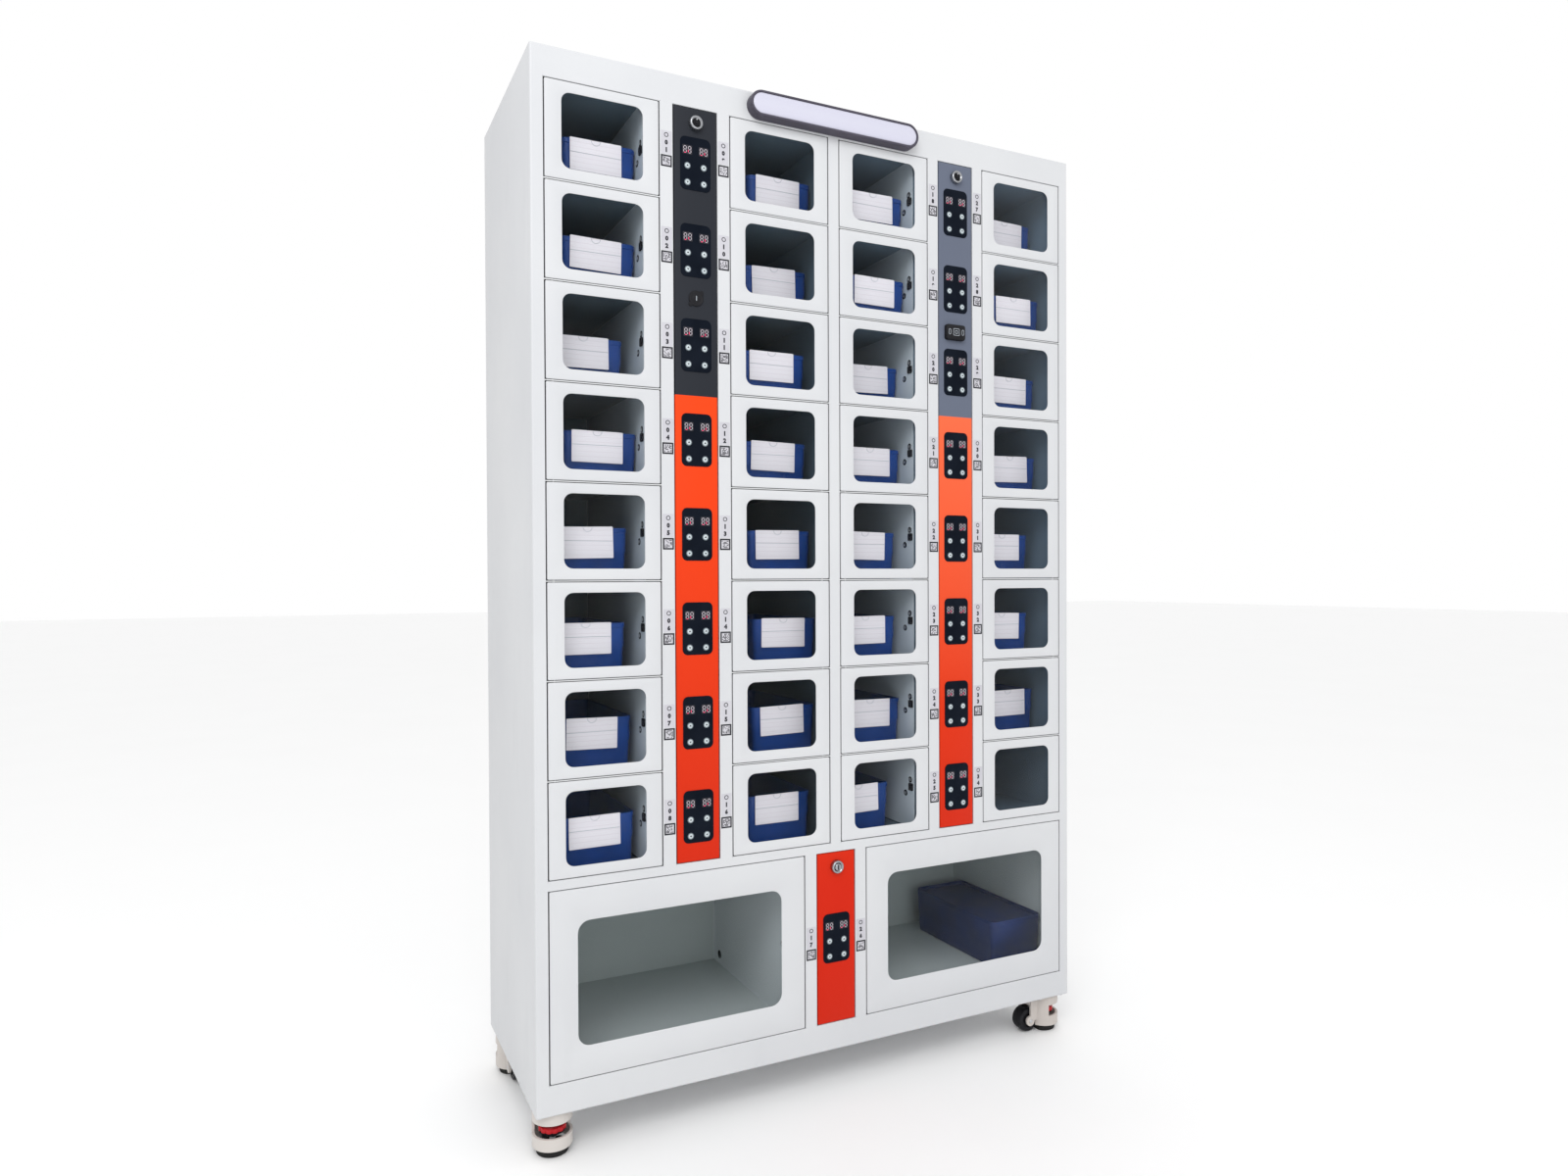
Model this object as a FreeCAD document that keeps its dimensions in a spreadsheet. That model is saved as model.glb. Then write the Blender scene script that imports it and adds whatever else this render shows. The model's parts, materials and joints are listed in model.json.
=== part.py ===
"""Smart compartment kiosk: a sheet-steel cabinet on levelling casters, with 34 windowed doors.

Frame: millimetres, +Z up, +X to the right when facing the doors, front face towards -Y.
The origin is on the floor, at the middle of the whole object's box.
Every size comes from the sheet called dims; templates are built once in their own frames and
each node is a compound that places its templates.
"""
import FreeCAD, Part
import os

DIMENSIONS = {
    # cabinet
    "body_width": 1200, "body_depth": 430, "body_height": 1875, "ground_gap": 82,
    "sheet": 1.2, "frame_depth": 18, "lamp_depth": 22,
    # face of the doors
    "side_margin": 25.25, "post_gap": 29.5, "centre_margin": 27.5, "edge_gap": 2.2,
    "level_gap": 1.4, "top_margin": 57.4, "row_pitch": 175.7, "lower_top": 1479.1,
    # leaves
    "leaf_width": 209, "leaf_height": 171.3, "leaf_depth": 16,
    "strip_width": 84, "strip_height": 1401.2,
    "large_width": 503.25, "large_height": 339.4,
    # windows
    "window_width": 149, "window_height": 133, "window_radius": 16,
    "large_window_width": 402.7, "large_window_height": 224.2, "large_window_radius": 22,
    "window_drop": 18.5, "large_window_drop": 58.4, "pane": 3, "pane_lap": 8,
    # door pivots and strikers
    "hinge_inset": 12.5, "hinge_depth": 6, "pin_radius": 2, "pin_bore": 2.15, "pin_length": 5,
    "strip_hinge_inset": 5, "strip_hinge_depth": 3.5, "strip_pin_radius": 1.5, "strip_pin_bore": 1.55,
    "striker_inset": 12, "striker_length": 34, "striker_half": 8,
    # compartments
    "shelf": 1.6, "shelf_setback": 0.5, "lock_wall_inset": 25, "back_wall_depth": 405,
    "floor_rise": 6.5, "floor_setback": 4,
    # latches
    "latch_start": 21, "latch_length": 38, "latch_width": 20, "latch_half": 28,
    "tab_length": 16, "tab_width": 3, "tab_half": 8,
    # bins
    "bin_width": 142, "bin_length": 300, "bin_height": 97, "bin_wall": 2.5,
    "rim_height": 8, "nest_gap": 0.3,
    "card_width": 98, "card_height": 60, "card_lift": 39.5, "card_inset": 16, "card_thick": 2,
    "spare_x": 433.5, "spare_y": 58,
    # control panels
    "panel_width": 60, "panel_height": 98, "panel_thick": 1.2, "button_radius": 6,
    "button_rise": 1.4, "button_pitch_x": 32.4, "button_pitch_z": 30.5,
    "upper_button_drop": 54, "panel_drop": 38.65, "first_panel_shift": 15, "low_panel_drop": 121.9,
    # cam locks
    "lock_drop": 28, "lock_head_radius": 13.25, "lock_body_radius": 9.5, "lock_rise": 10,
    "plug_bore": 7.05, "plug_radius": 7, "cam_reach": 54, "cam_width": 11, "cam_thick": 2,
    "cam_depth": 19.5,
    # key override and card reader
    "override_radius": 14.5, "override_rise": 3, "override_drop": 351.6,
    "reader_width": 47.5, "reader_height": 32, "reader_rise": 10, "reader_drop": 355.6,
    "reader_shift": 4.6,
    # lamp
    "lamp_width": 378, "lamp_height": 49.5, "lamp_drop": 3, "lamp_rim": 5, "lamp_lens": 3,
    # casters
    "caster_inset_x": 38.5, "caster_inset_y": 45, "plate_size": 73, "plate_thick": 3,
    "bolt_pitch": 59, "bolt_radius": 5, "bolt_head": 3.5,
    "skirt_radius": 36, "skirt_wall": 5, "skirt_low": 14, "skirt_high": 36,
    "head_low": 60, "head_high": 78.5, "cheek_gap": 16.5, "cheek_thick": 5, "lobe_radius": 11,
    "wheel_radius": 26, "wheel_half": 14.5, "wheel_offset": 48, "wheel_height": 27,
    "axle_radius": 4, "axle_bore": 4.05, "foot_radius": 29, "foot_flat": 21.5, "foot_thick": 12,
    "stem_radius": 6, "stem_top": 67, "stem_bore": 6.4, "thumb_radius": 25, "thumb_low": 40,
    "thumb_thick": 9,
    "nut_radius": 12, "nut_low": 28, "nut_thick": 10,
    # electronics
    "board_width": 90, "board_depth": 40, "board_height": 260, "supply_width": 120,
    "supply_depth": 60, "supply_height": 180, "inlet_width": 50, "inlet_height": 30,
}
ROWS = 8
COLUMNS = 4
RIGHT_HINGED = (1, 3)                                   # columns counted from 0
# Where each bin stands: its left side from the door's left edge, and its front behind the doors.
BIN_PLACES = {
    1: (39.8, 48), 2: (40, 53), 3: (21, 74), 4: (41.2, 54), 5: (21.7, 54), 6: (17, 54), 7: (30, 62),
    8: (28, 40), 9: (62, 59), 10: (58, 70), 11: (39, 42), 12: (47, 54), 13: (56, 54), 14: (68, 54),
    15: (66.6, 58), 16: (53, 55), 18: (38.5, 45), 19: (38, 38), 20: (41, 70), 21: (35.5, 54),
    22: (22.5, 54), 23: (23, 54), 24: (38.5, 62), 25: (5, 55), 27: (43.7, 64), 28: (47.5, 38),
    29: (44, 50), 30: (50, 54), 31: (27, 54), 32: (26, 54), 33: (52, 66),
}
for number, (across, depth) in BIN_PLACES.items():
    DIMENSIONS[f"bin_{number:02d}_x"] = across
    DIMENSIONS[f"bin_{number:02d}_y"] = depth
CASTER_ANGLES = {"fl": -90, "fr": 0, "rl": 90, "rr": 60}     # degrees, about the swivel axis
SPARE_TURN = 1                                         # degrees, how far the spare bins are turned
EMPTY_DOOR = 34

doc = FreeCAD.newDocument("kiosk")
sheet = doc.addObject("Spreadsheet::Sheet", "dims")
for line, (alias, value) in enumerate(DIMENSIONS.items(), start=1):
    sheet.set(f"A{line}", alias)
    sheet.set(f"B{line}", str(value))
    sheet.setAlias(f"B{line}", alias)
doc.recompute()


def d(alias):
    """The expression that reads one driving dimension."""
    return f"dims.{alias}"


# The front plane's y, so that cabinet and lamp together are centred on the origin.
FRONT = "(-(dims.body_depth - dims.lamp_depth) / 2)"
LEFT = "(-dims.body_width / 2)"
TOP = "(dims.ground_gap + dims.body_height)"


AXIS_TURNS = {
    "y": (FreeCAD.Vector(1, 0, 0), -90),
    "z": (FreeCAD.Vector(0, 0, 1), 0),
}


def bind(item, prop, text):
    item.setExpression(prop, str(text))


def place(item, x="0", y="0", z="0"):
    bind(item, "Placement.Base.x", x)
    bind(item, "Placement.Base.y", y)
    bind(item, "Placement.Base.z", z)
    return item


def box(name, x, y, z, width, depth, height):
    """A box from its low corner; every value is a number or an expression over dims."""
    item = doc.addObject("Part::Box", name)
    bind(item, "Length", width)
    bind(item, "Width", depth)
    bind(item, "Height", height)
    return place(item, x, y, z)


def cylinder(name, x, y, z, radius, height, axis="z"):
    """A cylinder from the middle of its low end, along +Z or +Y."""
    item = doc.addObject("Part::Cylinder", name)
    item.Placement.Rotation = FreeCAD.Rotation(*AXIS_TURNS[axis])
    bind(item, "Radius", radius)
    bind(item, "Height", height)
    return place(item, x, y, z)


def fuse(name, items):
    item = doc.addObject("Part::MultiFuse", name)
    item.Shapes = items
    item.Refine = True
    return item


def cut(name, base, tools):
    item = doc.addObject("Part::Cut", name)
    item.Base = base
    item.Tool = tools[0] if len(tools) == 1 else fuse(name + "_tools", tools)
    return item


def group(name, items, x="0", y="0", z="0"):
    """Separate solids that share one place, as a compound."""
    item = doc.addObject("Part::Compound", name)
    item.Label = name
    item.Links = items
    return place(item, x, y, z)


def rounded_cutter(name, x, z, width, height, radius, depth):
    """A rounded rectangle seen from the front, cut right through from in front of the face."""
    wide = box(name + "_wide", x, -1, f"{z} + {radius}", width, depth, f"{height} - 2 * {radius}")
    tall = box(name + "_tall", f"{x} + {radius}", -1, z, f"{width} - 2 * {radius}", depth, height)
    corners = []
    for i, cx in enumerate((f"{x} + {radius}", f"{x} + {width} - {radius}")):
        for j, cz in enumerate((f"{z} + {radius}", f"{z} + {height} - {radius}")):
            corners.append(cylinder(f"{name}_corner_{i}{j}", cx, -1, cz, radius, depth, axis="y"))
    return fuse(name, [wide, tall, *corners])


def pan(name, width, depth, height, holes=()):
    """A folded sheet pan: a front sheet with a return all round, open at the back."""
    outer = box(name + "_outer", 0, 0, 0, width, depth, height)
    inner = box(name + "_inner", d("sheet"), d("sheet"), d("sheet"), f"{width} - 2 * {d('sheet')}",
                depth, f"{height} - 2 * {d('sheet')}")
    return cut(name, outer, [inner, *holes])


# ---------------------------------------------------------------- layout of the front
def leaf_left(column):
    """Expression for the left edge of a column's leaves."""
    first = f"({LEFT} + {d('side_margin')})"
    second = f"({first} + {d('leaf_width')} + 2 * {d('post_gap')} + {d('strip_width')})"
    if column == 0:
        return first
    if column == 1:
        return second
    if column == 2:
        return f"(-{second} - {d('leaf_width')})"
    return f"(-{first} - {d('leaf_width')})"


STRIP_LEFT = {
    "left": f"({leaf_left(0)} + {d('leaf_width')} + {d('post_gap')})",
    "right": f"({leaf_left(2)} + {d('leaf_width')} + {d('post_gap')})",
    "centre": f"(-{d('strip_width')} / 2)",
}
ROWS_TOP = f"({TOP} - {d('top_margin')})"
LOWER_TOP = f"({TOP} - {d('lower_top')})"
ROWS_LOW = f"({ROWS_TOP} - {d('strip_height')})"
LOWER_LOW = f"({LOWER_TOP} - {d('large_height')})"


def leaf_low(row):
    """Expression for the bottom edge of a leaf in one of the eight rows."""
    return f"({ROWS_TOP} - {row} * {d('row_pitch')} - {d('leaf_height')})"


def boundary(row):
    """Expression for the middle of the gap above a row."""
    return f"({ROWS_TOP} - {row} * {d('row_pitch')} + ({d('row_pitch')} - {d('leaf_height')}) / 2)"


# ---------------------------------------------------------------- doors
def pin_holes(name, x, y, radius, height):
    """Two bores for the hinge pins, through the top and bottom returns."""
    return [cylinder(f"{name}_bore_{k}", x, y, z, radius, f"3 * {d('sheet')}")
            for k, z in enumerate((f"-{d('sheet')}", f"{height} - 2 * {d('sheet')}"))]


def door_template(name, width, height, window, hinged_right):
    """A door in its own frame: leaf, pane and striker, with its low left front corner at 0."""
    window_width, window_height, radius, drop = window
    hinge_x = f"{width} - {d('hinge_inset')}" if hinged_right else d("hinge_inset")
    striker_x = d("striker_inset") if hinged_right else f"{width} - {d('striker_inset')}"
    window_x = f"({width} - {window_width}) / 2"
    window_z = f"{height} - {drop} - {window_height}"
    hole = rounded_cutter(name + "_window", window_x, window_z, window_width, window_height, radius,
                          f"2 + {d('sheet')}")
    bores = pin_holes(name, hinge_x, d("hinge_depth"), d("pin_bore"), height)
    leaf = pan(name + "_leaf", width, d("leaf_depth"), height, [hole, *bores])
    lap = d("pane_lap")
    pane = box(name + "_pane", f"{window_x} - {lap}", d("sheet"), f"{window_z} - {lap}",
               f"{window_width} + 2 * {lap}", d("pane"), f"{window_height} + 2 * {lap}")
    striker = box(name + "_striker", f"{striker_x} - 1", d("sheet"),
                  f"{height} / 2 - {d('striker_half')}", 2, f"{d('striker_length')} - {d('sheet')}",
                  f"2 * {d('striker_half')}")
    return [leaf, pane, striker]


SMALL_WINDOW = (d("window_width"), d("window_height"), d("window_radius"), d("window_drop"))
LARGE_WINDOW = (d("large_window_width"), d("large_window_height"), d("large_window_radius"),
                d("large_window_drop"))
small_left = door_template("small_left", d("leaf_width"), d("leaf_height"), SMALL_WINDOW, False)
small_right = door_template("small_right", d("leaf_width"), d("leaf_height"), SMALL_WINDOW, True)
large_left = door_template("large_left", d("large_width"), d("large_height"), LARGE_WINDOW, False)
large_right = door_template("large_right", d("large_width"), d("large_height"), LARGE_WINDOW, True)

NUMBER_FIRST = (1, 9, 18, 27)                            # door number at the top of each column
LARGE_LEFT_X = f"({LEFT} + {d('side_margin')})"
LARGE_RIGHT_X = f"(-{LARGE_LEFT_X} - {d('large_width')})"
nodes = []
for column in range(COLUMNS):
    template = small_right if column in RIGHT_HINGED else small_left
    for row in range(ROWS):
        number = NUMBER_FIRST[column] + row
        nodes.append(group(f"door_{number:02d}", template, leaf_left(column), FRONT, leaf_low(row)))
nodes.append(group("door_17", large_left, LARGE_LEFT_X, FRONT, LOWER_LOW))
nodes.append(group("door_26", large_right, LARGE_RIGHT_X, FRONT, LOWER_LOW))


# ---------------------------------------------------------------- control strips
def control_panel(name, top):
    """A display panel with four push buttons; top is the height of its upper edge."""
    middle = f"{d('strip_width')} / 2"
    face = f"-{d('panel_thick')}"
    parts = [box(name, f"{middle} - {d('panel_width')} / 2", face, f"{top} - {d('panel_height')}",
                 d("panel_width"), d("panel_thick"), d("panel_height"))]
    for i, side in enumerate((-1, 1)):
        for j in range(2):
            x = f"{middle} + {side} * {d('button_pitch_x')} / 2"
            z = f"{top} - {d('upper_button_drop')} - {j} * {d('button_pitch_z')}"
            parts.append(cylinder(f"{name}_button_{i}{j}", x, f"{face} - {d('button_rise')}", z,
                                  d("button_radius"), d("button_rise"), axis="y"))
    return parts


def lock_barrel(name, z):
    """A lock barrel: a head in front of the strip, a body behind it, and the plug's bore."""
    middle = f"{d('strip_width')} / 2"
    head = cylinder(name + "_head", middle, f"-{d('lock_rise')}", z, d("lock_head_radius"),
                    d("lock_rise"), axis="y")
    body = cylinder(name + "_body", middle, f"-{d('lock_rise')}", z, d("lock_body_radius"),
                    f"{d('lock_rise')} + {d('cam_depth')} - 0.5", axis="y")
    bore = cylinder(name + "_bore", middle, f"-{d('lock_rise')} - 1", z, d("plug_bore"),
                    f"{d('lock_rise')} + {d('cam_depth')} + 2", axis="y")
    return cut(name, fuse(name + "_solid", [head, body]), [bore])


def strip_template(name, height, panel_tops, fittings):
    """A service door in its own frame: strip, display panels with buttons, lock barrel."""
    lock_z = f"{height} - {d('lock_drop')}"
    hinge_x = f"{d('strip_width')} - {d('strip_hinge_inset')}"
    lock_hole = cylinder(name + "_lock_hole", f"{d('strip_width')} / 2", -1, lock_z,
                         d("lock_body_radius"), f"2 + {d('sheet')}", axis="y")
    bores = pin_holes(name, hinge_x, d("strip_hinge_depth"), d("strip_pin_bore"), height)
    parts = [pan(name + "_pan", d("strip_width"), d("leaf_depth"), height, [lock_hole, *bores]),
             lock_barrel(name + "_barrel", lock_z)]
    for k, top in enumerate(panel_tops):
        parts += control_panel(f"{name}_panel_{k}", top)
    return parts + fittings


def row_panel_top(row):
    """Upper edge of a row's panel above the strip's foot; the first is lower, under the lock."""
    shift = d("first_panel_shift") if row == 0 else "0"
    return f"{d('strip_height')} - {row} * {d('row_pitch')} - {d('panel_drop')} - {shift}"


override = [cylinder("key_override", f"{d('strip_width')} / 2", f"-{d('override_rise')}",
                     f"{d('strip_height')} - {d('override_drop')}", d("override_radius"),
                     d("override_rise"), axis="y")]
reader = [box("card_reader", f"{d('strip_width')} / 2 - {d('reader_shift')} - {d('reader_width')} / 2",
              f"-{d('reader_rise')}",
              f"{d('strip_height')} - {d('reader_drop')} - {d('reader_height')} / 2",
              d("reader_width"), d("reader_rise"), d("reader_height"))]
PANEL_TOPS = [row_panel_top(row) for row in range(ROWS)]
STRIPS = {
    "left": ("strip_left", d("strip_height"), PANEL_TOPS, override, ROWS_LOW),
    "right": ("strip_right", d("strip_height"), PANEL_TOPS, reader, ROWS_LOW),
    "centre": ("strip_centre", d("large_height"), [f"{d('large_height')} - {d('low_panel_drop')}"], [],
               LOWER_LOW),
}
for side, (name, height, tops, fittings, low) in STRIPS.items():
    parts = strip_template(name, height, tops, fittings)
    nodes.append(group(f"control_strip_{side}", parts, STRIP_LEFT[side], FRONT, low))

# A lock plug in its own frame: the plug along +Y, with its cam hanging down behind it.
plug = cylinder("plug", 0, f"-{d('lock_rise')} - 0.3", 0, d("plug_radius"),
                f"{d('lock_rise')} + 0.3 + {d('cam_depth')}", axis="y")
cam = box("cam", f"-{d('cam_width')} / 2", d("cam_depth"), f"-{d('cam_reach')}", d("cam_width"),
          d("cam_thick"), f"{d('cam_reach')} + {d('cam_width')} / 2")
for side, (name, height, tops, fittings, low) in STRIPS.items():
    nodes.append(group(f"lock_plug_{side}", [plug, cam], f"{STRIP_LEFT[side]} + {d('strip_width')} / 2",
                       FRONT, f"{low} + {height} - {d('lock_drop')}"))


# ---------------------------------------------------------------- front frame
def member(name, x, z, width, height):
    """A frame member: a folded channel, open at the back."""
    outer = box(name + "_outer", x, FRONT, z, width, d("frame_depth"), height)
    inner = box(name + "_inner", f"{x} + {d('sheet')}", f"{FRONT} + {d('sheet')}",
                f"{z} + {d('sheet')}", f"{width} - 2 * {d('sheet')}", d("frame_depth"),
                f"{height} - 2 * {d('sheet')}")
    return cut(name, outer, [inner])


GAP = d("edge_gap")
LEVEL = d("level_gap")
LOW = d("ground_gap")
STILE = f"({d('side_margin')} - {GAP})"
frame = [
    member("stile_left", LEFT, LOW, STILE, d("body_height")),
    member("stile_right", f"-{LEFT} - {STILE}", LOW, STILE, d("body_height")),
    member("rail_top", f"{LEFT} + {STILE}", f"{ROWS_TOP} + {LEVEL}", f"{d('body_width')} - 2 * {STILE}",
           f"{d('top_margin')} - {LEVEL}"),
    member("rail_middle", f"{LEFT} + {STILE}", f"{LOWER_TOP} + {LEVEL}",
           f"{d('body_width')} - 2 * {STILE}", f"{ROWS_LOW} - {LOWER_TOP} - 2 * {LEVEL}"),
    member("rail_bottom", f"{LEFT} + {STILE}", LOW, f"{d('body_width')} - 2 * {STILE}",
           f"{LOWER_LOW} - {LEVEL} - {LOW}"),
]
POST_WIDTH = f"({d('post_gap')} - 2 * {GAP})"
UPPER_HEIGHT = f"({d('strip_height')} + 2 * {LEVEL})"
LOWER_HEIGHT = f"({d('large_height')} + 2 * {LEVEL})"
for side in ("left", "right"):
    for k, x in enumerate((f"{STRIP_LEFT[side]} - {GAP} - {POST_WIDTH}",
                           f"{STRIP_LEFT[side]} + {d('strip_width')} + {GAP}")):
        frame.append(member(f"post_{side}_{k}", x, f"{ROWS_LOW} - {LEVEL}", POST_WIDTH, UPPER_HEIGHT))
frame.append(member("centre_stile", f"-({d('centre_margin')} / 2 - {GAP})", f"{ROWS_LOW} - {LEVEL}",
                    f"{d('centre_margin')} - 2 * {GAP}", UPPER_HEIGHT))
for k, x in enumerate((f"{STRIP_LEFT['centre']} - {GAP} - {POST_WIDTH}",
                       f"{STRIP_LEFT['centre']} + {d('strip_width')} + {GAP}")):
    frame.append(member(f"low_post_{k}", x, f"{LOWER_LOW} - {LEVEL}", POST_WIDTH, LOWER_HEIGHT))


def hinge_pin(name, x, y, radius, low, high):
    """A hinge pin that stands in the gap and reaches into the leaf beside it."""
    return cylinder(name, x, y, low, radius, f"{high} - ({low})")


PIN = d("pin_length")
for column in range(COLUMNS):
    right = column in RIGHT_HINGED
    axis_x = f"{leaf_left(column)} + " + (f"{d('leaf_width')} - {d('hinge_inset')}" if right
                                          else d("hinge_inset"))
    axis_y = f"{FRONT} + {d('hinge_depth')}"
    frame.append(hinge_pin(f"pin_top_{column}", axis_x, axis_y, d("pin_radius"),
                           f"{ROWS_TOP} - {PIN}", f"{ROWS_TOP} + {LEVEL}"))
    frame.append(hinge_pin(f"pin_low_{column}", axis_x, axis_y, d("pin_radius"),
                           f"{ROWS_LOW} - {LEVEL}", f"{leaf_low(ROWS - 1)} + {PIN}"))
LARGE_AXES = {"left": f"{LARGE_LEFT_X} + {d('hinge_inset')}",
              "right": f"{LARGE_RIGHT_X} + {d('large_width')} - {d('hinge_inset')}"}
for side, axis_x in LARGE_AXES.items():
    axis_y = f"{FRONT} + {d('hinge_depth')}"
    frame.append(hinge_pin(f"large_pin_top_{side}", axis_x, axis_y, d("pin_radius"),
                           f"{LOWER_TOP} - {PIN}", f"{LOWER_TOP} + {LEVEL}"))
    frame.append(hinge_pin(f"large_pin_low_{side}", axis_x, axis_y, d("pin_radius"),
                           f"{LOWER_LOW} - {LEVEL}", f"{LOWER_LOW} + {PIN}"))
for side, (name, height, tops, fittings, low) in STRIPS.items():
    axis_x = f"{STRIP_LEFT[side]} + {d('strip_width')} - {d('strip_hinge_inset')}"
    axis_y = f"{FRONT} + {d('strip_hinge_depth')}"
    frame.append(hinge_pin(f"strip_pin_top_{side}", axis_x, axis_y, d("strip_pin_radius"),
                           f"{low} + {height} - {PIN}", f"{low} + {height} + {LEVEL}"))
    frame.append(hinge_pin(f"strip_pin_low_{side}", axis_x, axis_y, d("strip_pin_radius"),
                           f"{low} - {LEVEL}", f"{low} + {PIN}"))
nodes.append(group("front_frame", frame))

# ---------------------------------------------------------------- compartments
BEHIND = f"({FRONT} + {d('frame_depth')})"
BACK_WALL = f"({FRONT} + {d('back_wall_depth')})"
WALL_DEPTH = f"({BACK_WALL} - {BEHIND})"
CEILING = f"({ROWS_TOP} + {LEVEL})"
walls = []


def opening(column):
    """Expressions for the two edges of a column's opening."""
    left = f"({leaf_left(column)} - {GAP})"
    return left, f"({leaf_left(column)} + {d('leaf_width')} + {GAP})"


def lock_wall_face(column):
    """The face of the lock-side wall that looks into the compartment."""
    if column in RIGHT_HINGED:
        return f"({leaf_left(column)} + {d('lock_wall_inset')})"
    return f"({leaf_left(column)} + {d('leaf_width')} - {d('lock_wall_inset')})"


def upright(name, x, low, high, depth=WALL_DEPTH):
    return box(name, x, BEHIND, low, d("sheet"), depth, f"{high} - {low}")


def stop_flange(name, x_low, x_high, low, high, striker_xs, striker_zs):
    """The plate that the leaf closes against, slotted where the strikers pass."""
    plate = box(name + "_plate", x_low, BEHIND, low, f"{x_high} - ({x_low})", d("sheet"),
                f"{high} - {low}")
    slots = [box(f"{name}_slot_{k}", f"{striker_xs} - 5", f"{BEHIND} - 1", f"{z} - 12", 10, 4, 24)
             for k, z in enumerate(striker_zs)]
    return cut(name, plate, slots)


MIDDLE_PLATE = f"({ROWS_LOW} - {LEVEL})"
for column in range(COLUMNS):
    right = column in RIGHT_HINGED
    edge_left, edge_right = opening(column)
    face = lock_wall_face(column)
    low, high = MIDDLE_PLATE, CEILING
    if right:
        hinge_wall = edge_right
        inner_left, inner_right = face, edge_right
        walls.append(upright(f"hinge_wall_{column}", hinge_wall, low, high))
        walls.append(upright(f"lock_wall_{column}", f"{face} - {d('sheet')}", low, high))
        flange = (edge_left, f"({face} - {d('sheet')})")
        striker = f"({leaf_left(column)} + {d('striker_inset')})"
    else:
        hinge_wall = f"({edge_left} - {d('sheet')})"
        inner_left, inner_right = edge_left, face
        walls.append(upright(f"hinge_wall_{column}", hinge_wall, low, high))
        walls.append(upright(f"lock_wall_{column}", face, low, high))
        flange = (f"({face} + {d('sheet')})", edge_right)
        striker = f"({leaf_left(column)} + {d('leaf_width')} - {d('striker_inset')})"
    heights = [f"({leaf_low(row)} + {d('leaf_height')} / 2)" for row in range(ROWS)]
    walls.append(stop_flange(f"stop_flange_{column}", *flange, low, high, striker, heights))
    for row in range(1, ROWS):
        z = f"{boundary(row)} - {d('shelf')} / 2"
        lip = box(f"lip_{column}_{row}", edge_left, f"{FRONT} + {d('shelf_setback')}", z,
                  f"{edge_right} - {edge_left}", f"{d('frame_depth')} - {d('shelf_setback')}",
                  d("shelf"))
        plate = box(f"plate_{column}_{row}", inner_left, BEHIND, z, f"{inner_right} - {inner_left}",
                    WALL_DEPTH, d("shelf"))
        axis_x = f"{leaf_left(column)} + " + (f"{d('leaf_width')} - {d('hinge_inset')}" if right
                                              else d("hinge_inset"))
        axis_y = f"{FRONT} + {d('hinge_depth')}"
        walls.append(fuse(f"shelf_{column}_{row}", [lip, plate]))
        walls.append(hinge_pin(f"pin_under_{column}_{row}", axis_x, axis_y, d("pin_radius"),
                               f"{leaf_low(row)} + {d('leaf_height')} - {PIN}", z))
        walls.append(hinge_pin(f"pin_over_{column}_{row}", axis_x, axis_y, d("pin_radius"),
                               f"{z} + {d('shelf')}", f"{leaf_low(row - 1)} + {PIN}"))

# The three long plates that close the rows and the large compartments above and below.
SPAN_LEFT = f"({LEFT} + {STILE})"
SPAN = f"({d('body_width')} - 2 * {STILE})"
LARGE_FLOOR = f"({LOWER_LOW} + {d('floor_rise')} - {d('sheet')})"
walls.append(box("ceiling_plate", SPAN_LEFT, BEHIND, CEILING, SPAN, WALL_DEPTH, d("sheet")))
walls.append(box("middle_plate", SPAN_LEFT, BEHIND, f"{MIDDLE_PLATE} - {d('sheet')}", SPAN, WALL_DEPTH,
                 d("sheet")))
# The floor stands back from the large leaves' low edges, whose hinged corners swing over that line.
walls.append(box("floor_plate", SPAN_LEFT, f"{BEHIND} + {d('floor_setback')}", LARGE_FLOOR, SPAN,
                 f"{WALL_DEPTH} - {d('floor_setback')}", d("sheet")))
walls.append(box("inner_back", SPAN_LEFT, BACK_WALL, LARGE_FLOOR, SPAN, d("sheet"),
                 f"{CEILING} + {d('sheet')} - {LARGE_FLOOR}"))
LARGE_CEILING = f"({MIDDLE_PLATE} - {d('sheet')})"
LARGE_LOW = f"({LARGE_FLOOR} + {d('sheet')})"
LARGE_FACE = f"({LARGE_LEFT_X} + {d('large_width')} - {d('lock_wall_inset')})"
LARGE_STRIKER = f"({LARGE_LEFT_X} + {d('large_width')} - {d('striker_inset')})"
LARGE_EDGE = f"({LARGE_LEFT_X} + {d('large_width')} + {GAP})"
LARGE_MIDDLE = f"({LOWER_LOW} + {d('large_height')} / 2)"
walls.append(upright("large_hinge_wall_left", f"{SPAN_LEFT} - {d('sheet')}", LARGE_LOW, LARGE_CEILING))
walls.append(upright("large_hinge_wall_right", f"-{SPAN_LEFT}", LARGE_LOW, LARGE_CEILING))
walls.append(upright("large_lock_wall_left", LARGE_FACE, LARGE_LOW, LARGE_CEILING))
walls.append(upright("large_lock_wall_right", f"-{LARGE_FACE} - {d('sheet')}", LARGE_LOW,
                     LARGE_CEILING))
walls.append(stop_flange("large_stop_left", f"{LARGE_FACE} + {d('sheet')}", LARGE_EDGE, LARGE_LOW,
                         LARGE_CEILING, LARGE_STRIKER, [LARGE_MIDDLE]))
walls.append(stop_flange("large_stop_right", f"-{LARGE_EDGE}", f"-({LARGE_FACE} + {d('sheet')})",
                         LARGE_LOW, LARGE_CEILING, f"(-{LARGE_STRIKER})", [LARGE_MIDDLE]))
nodes.append(group("compartment_walls", walls))


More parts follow.
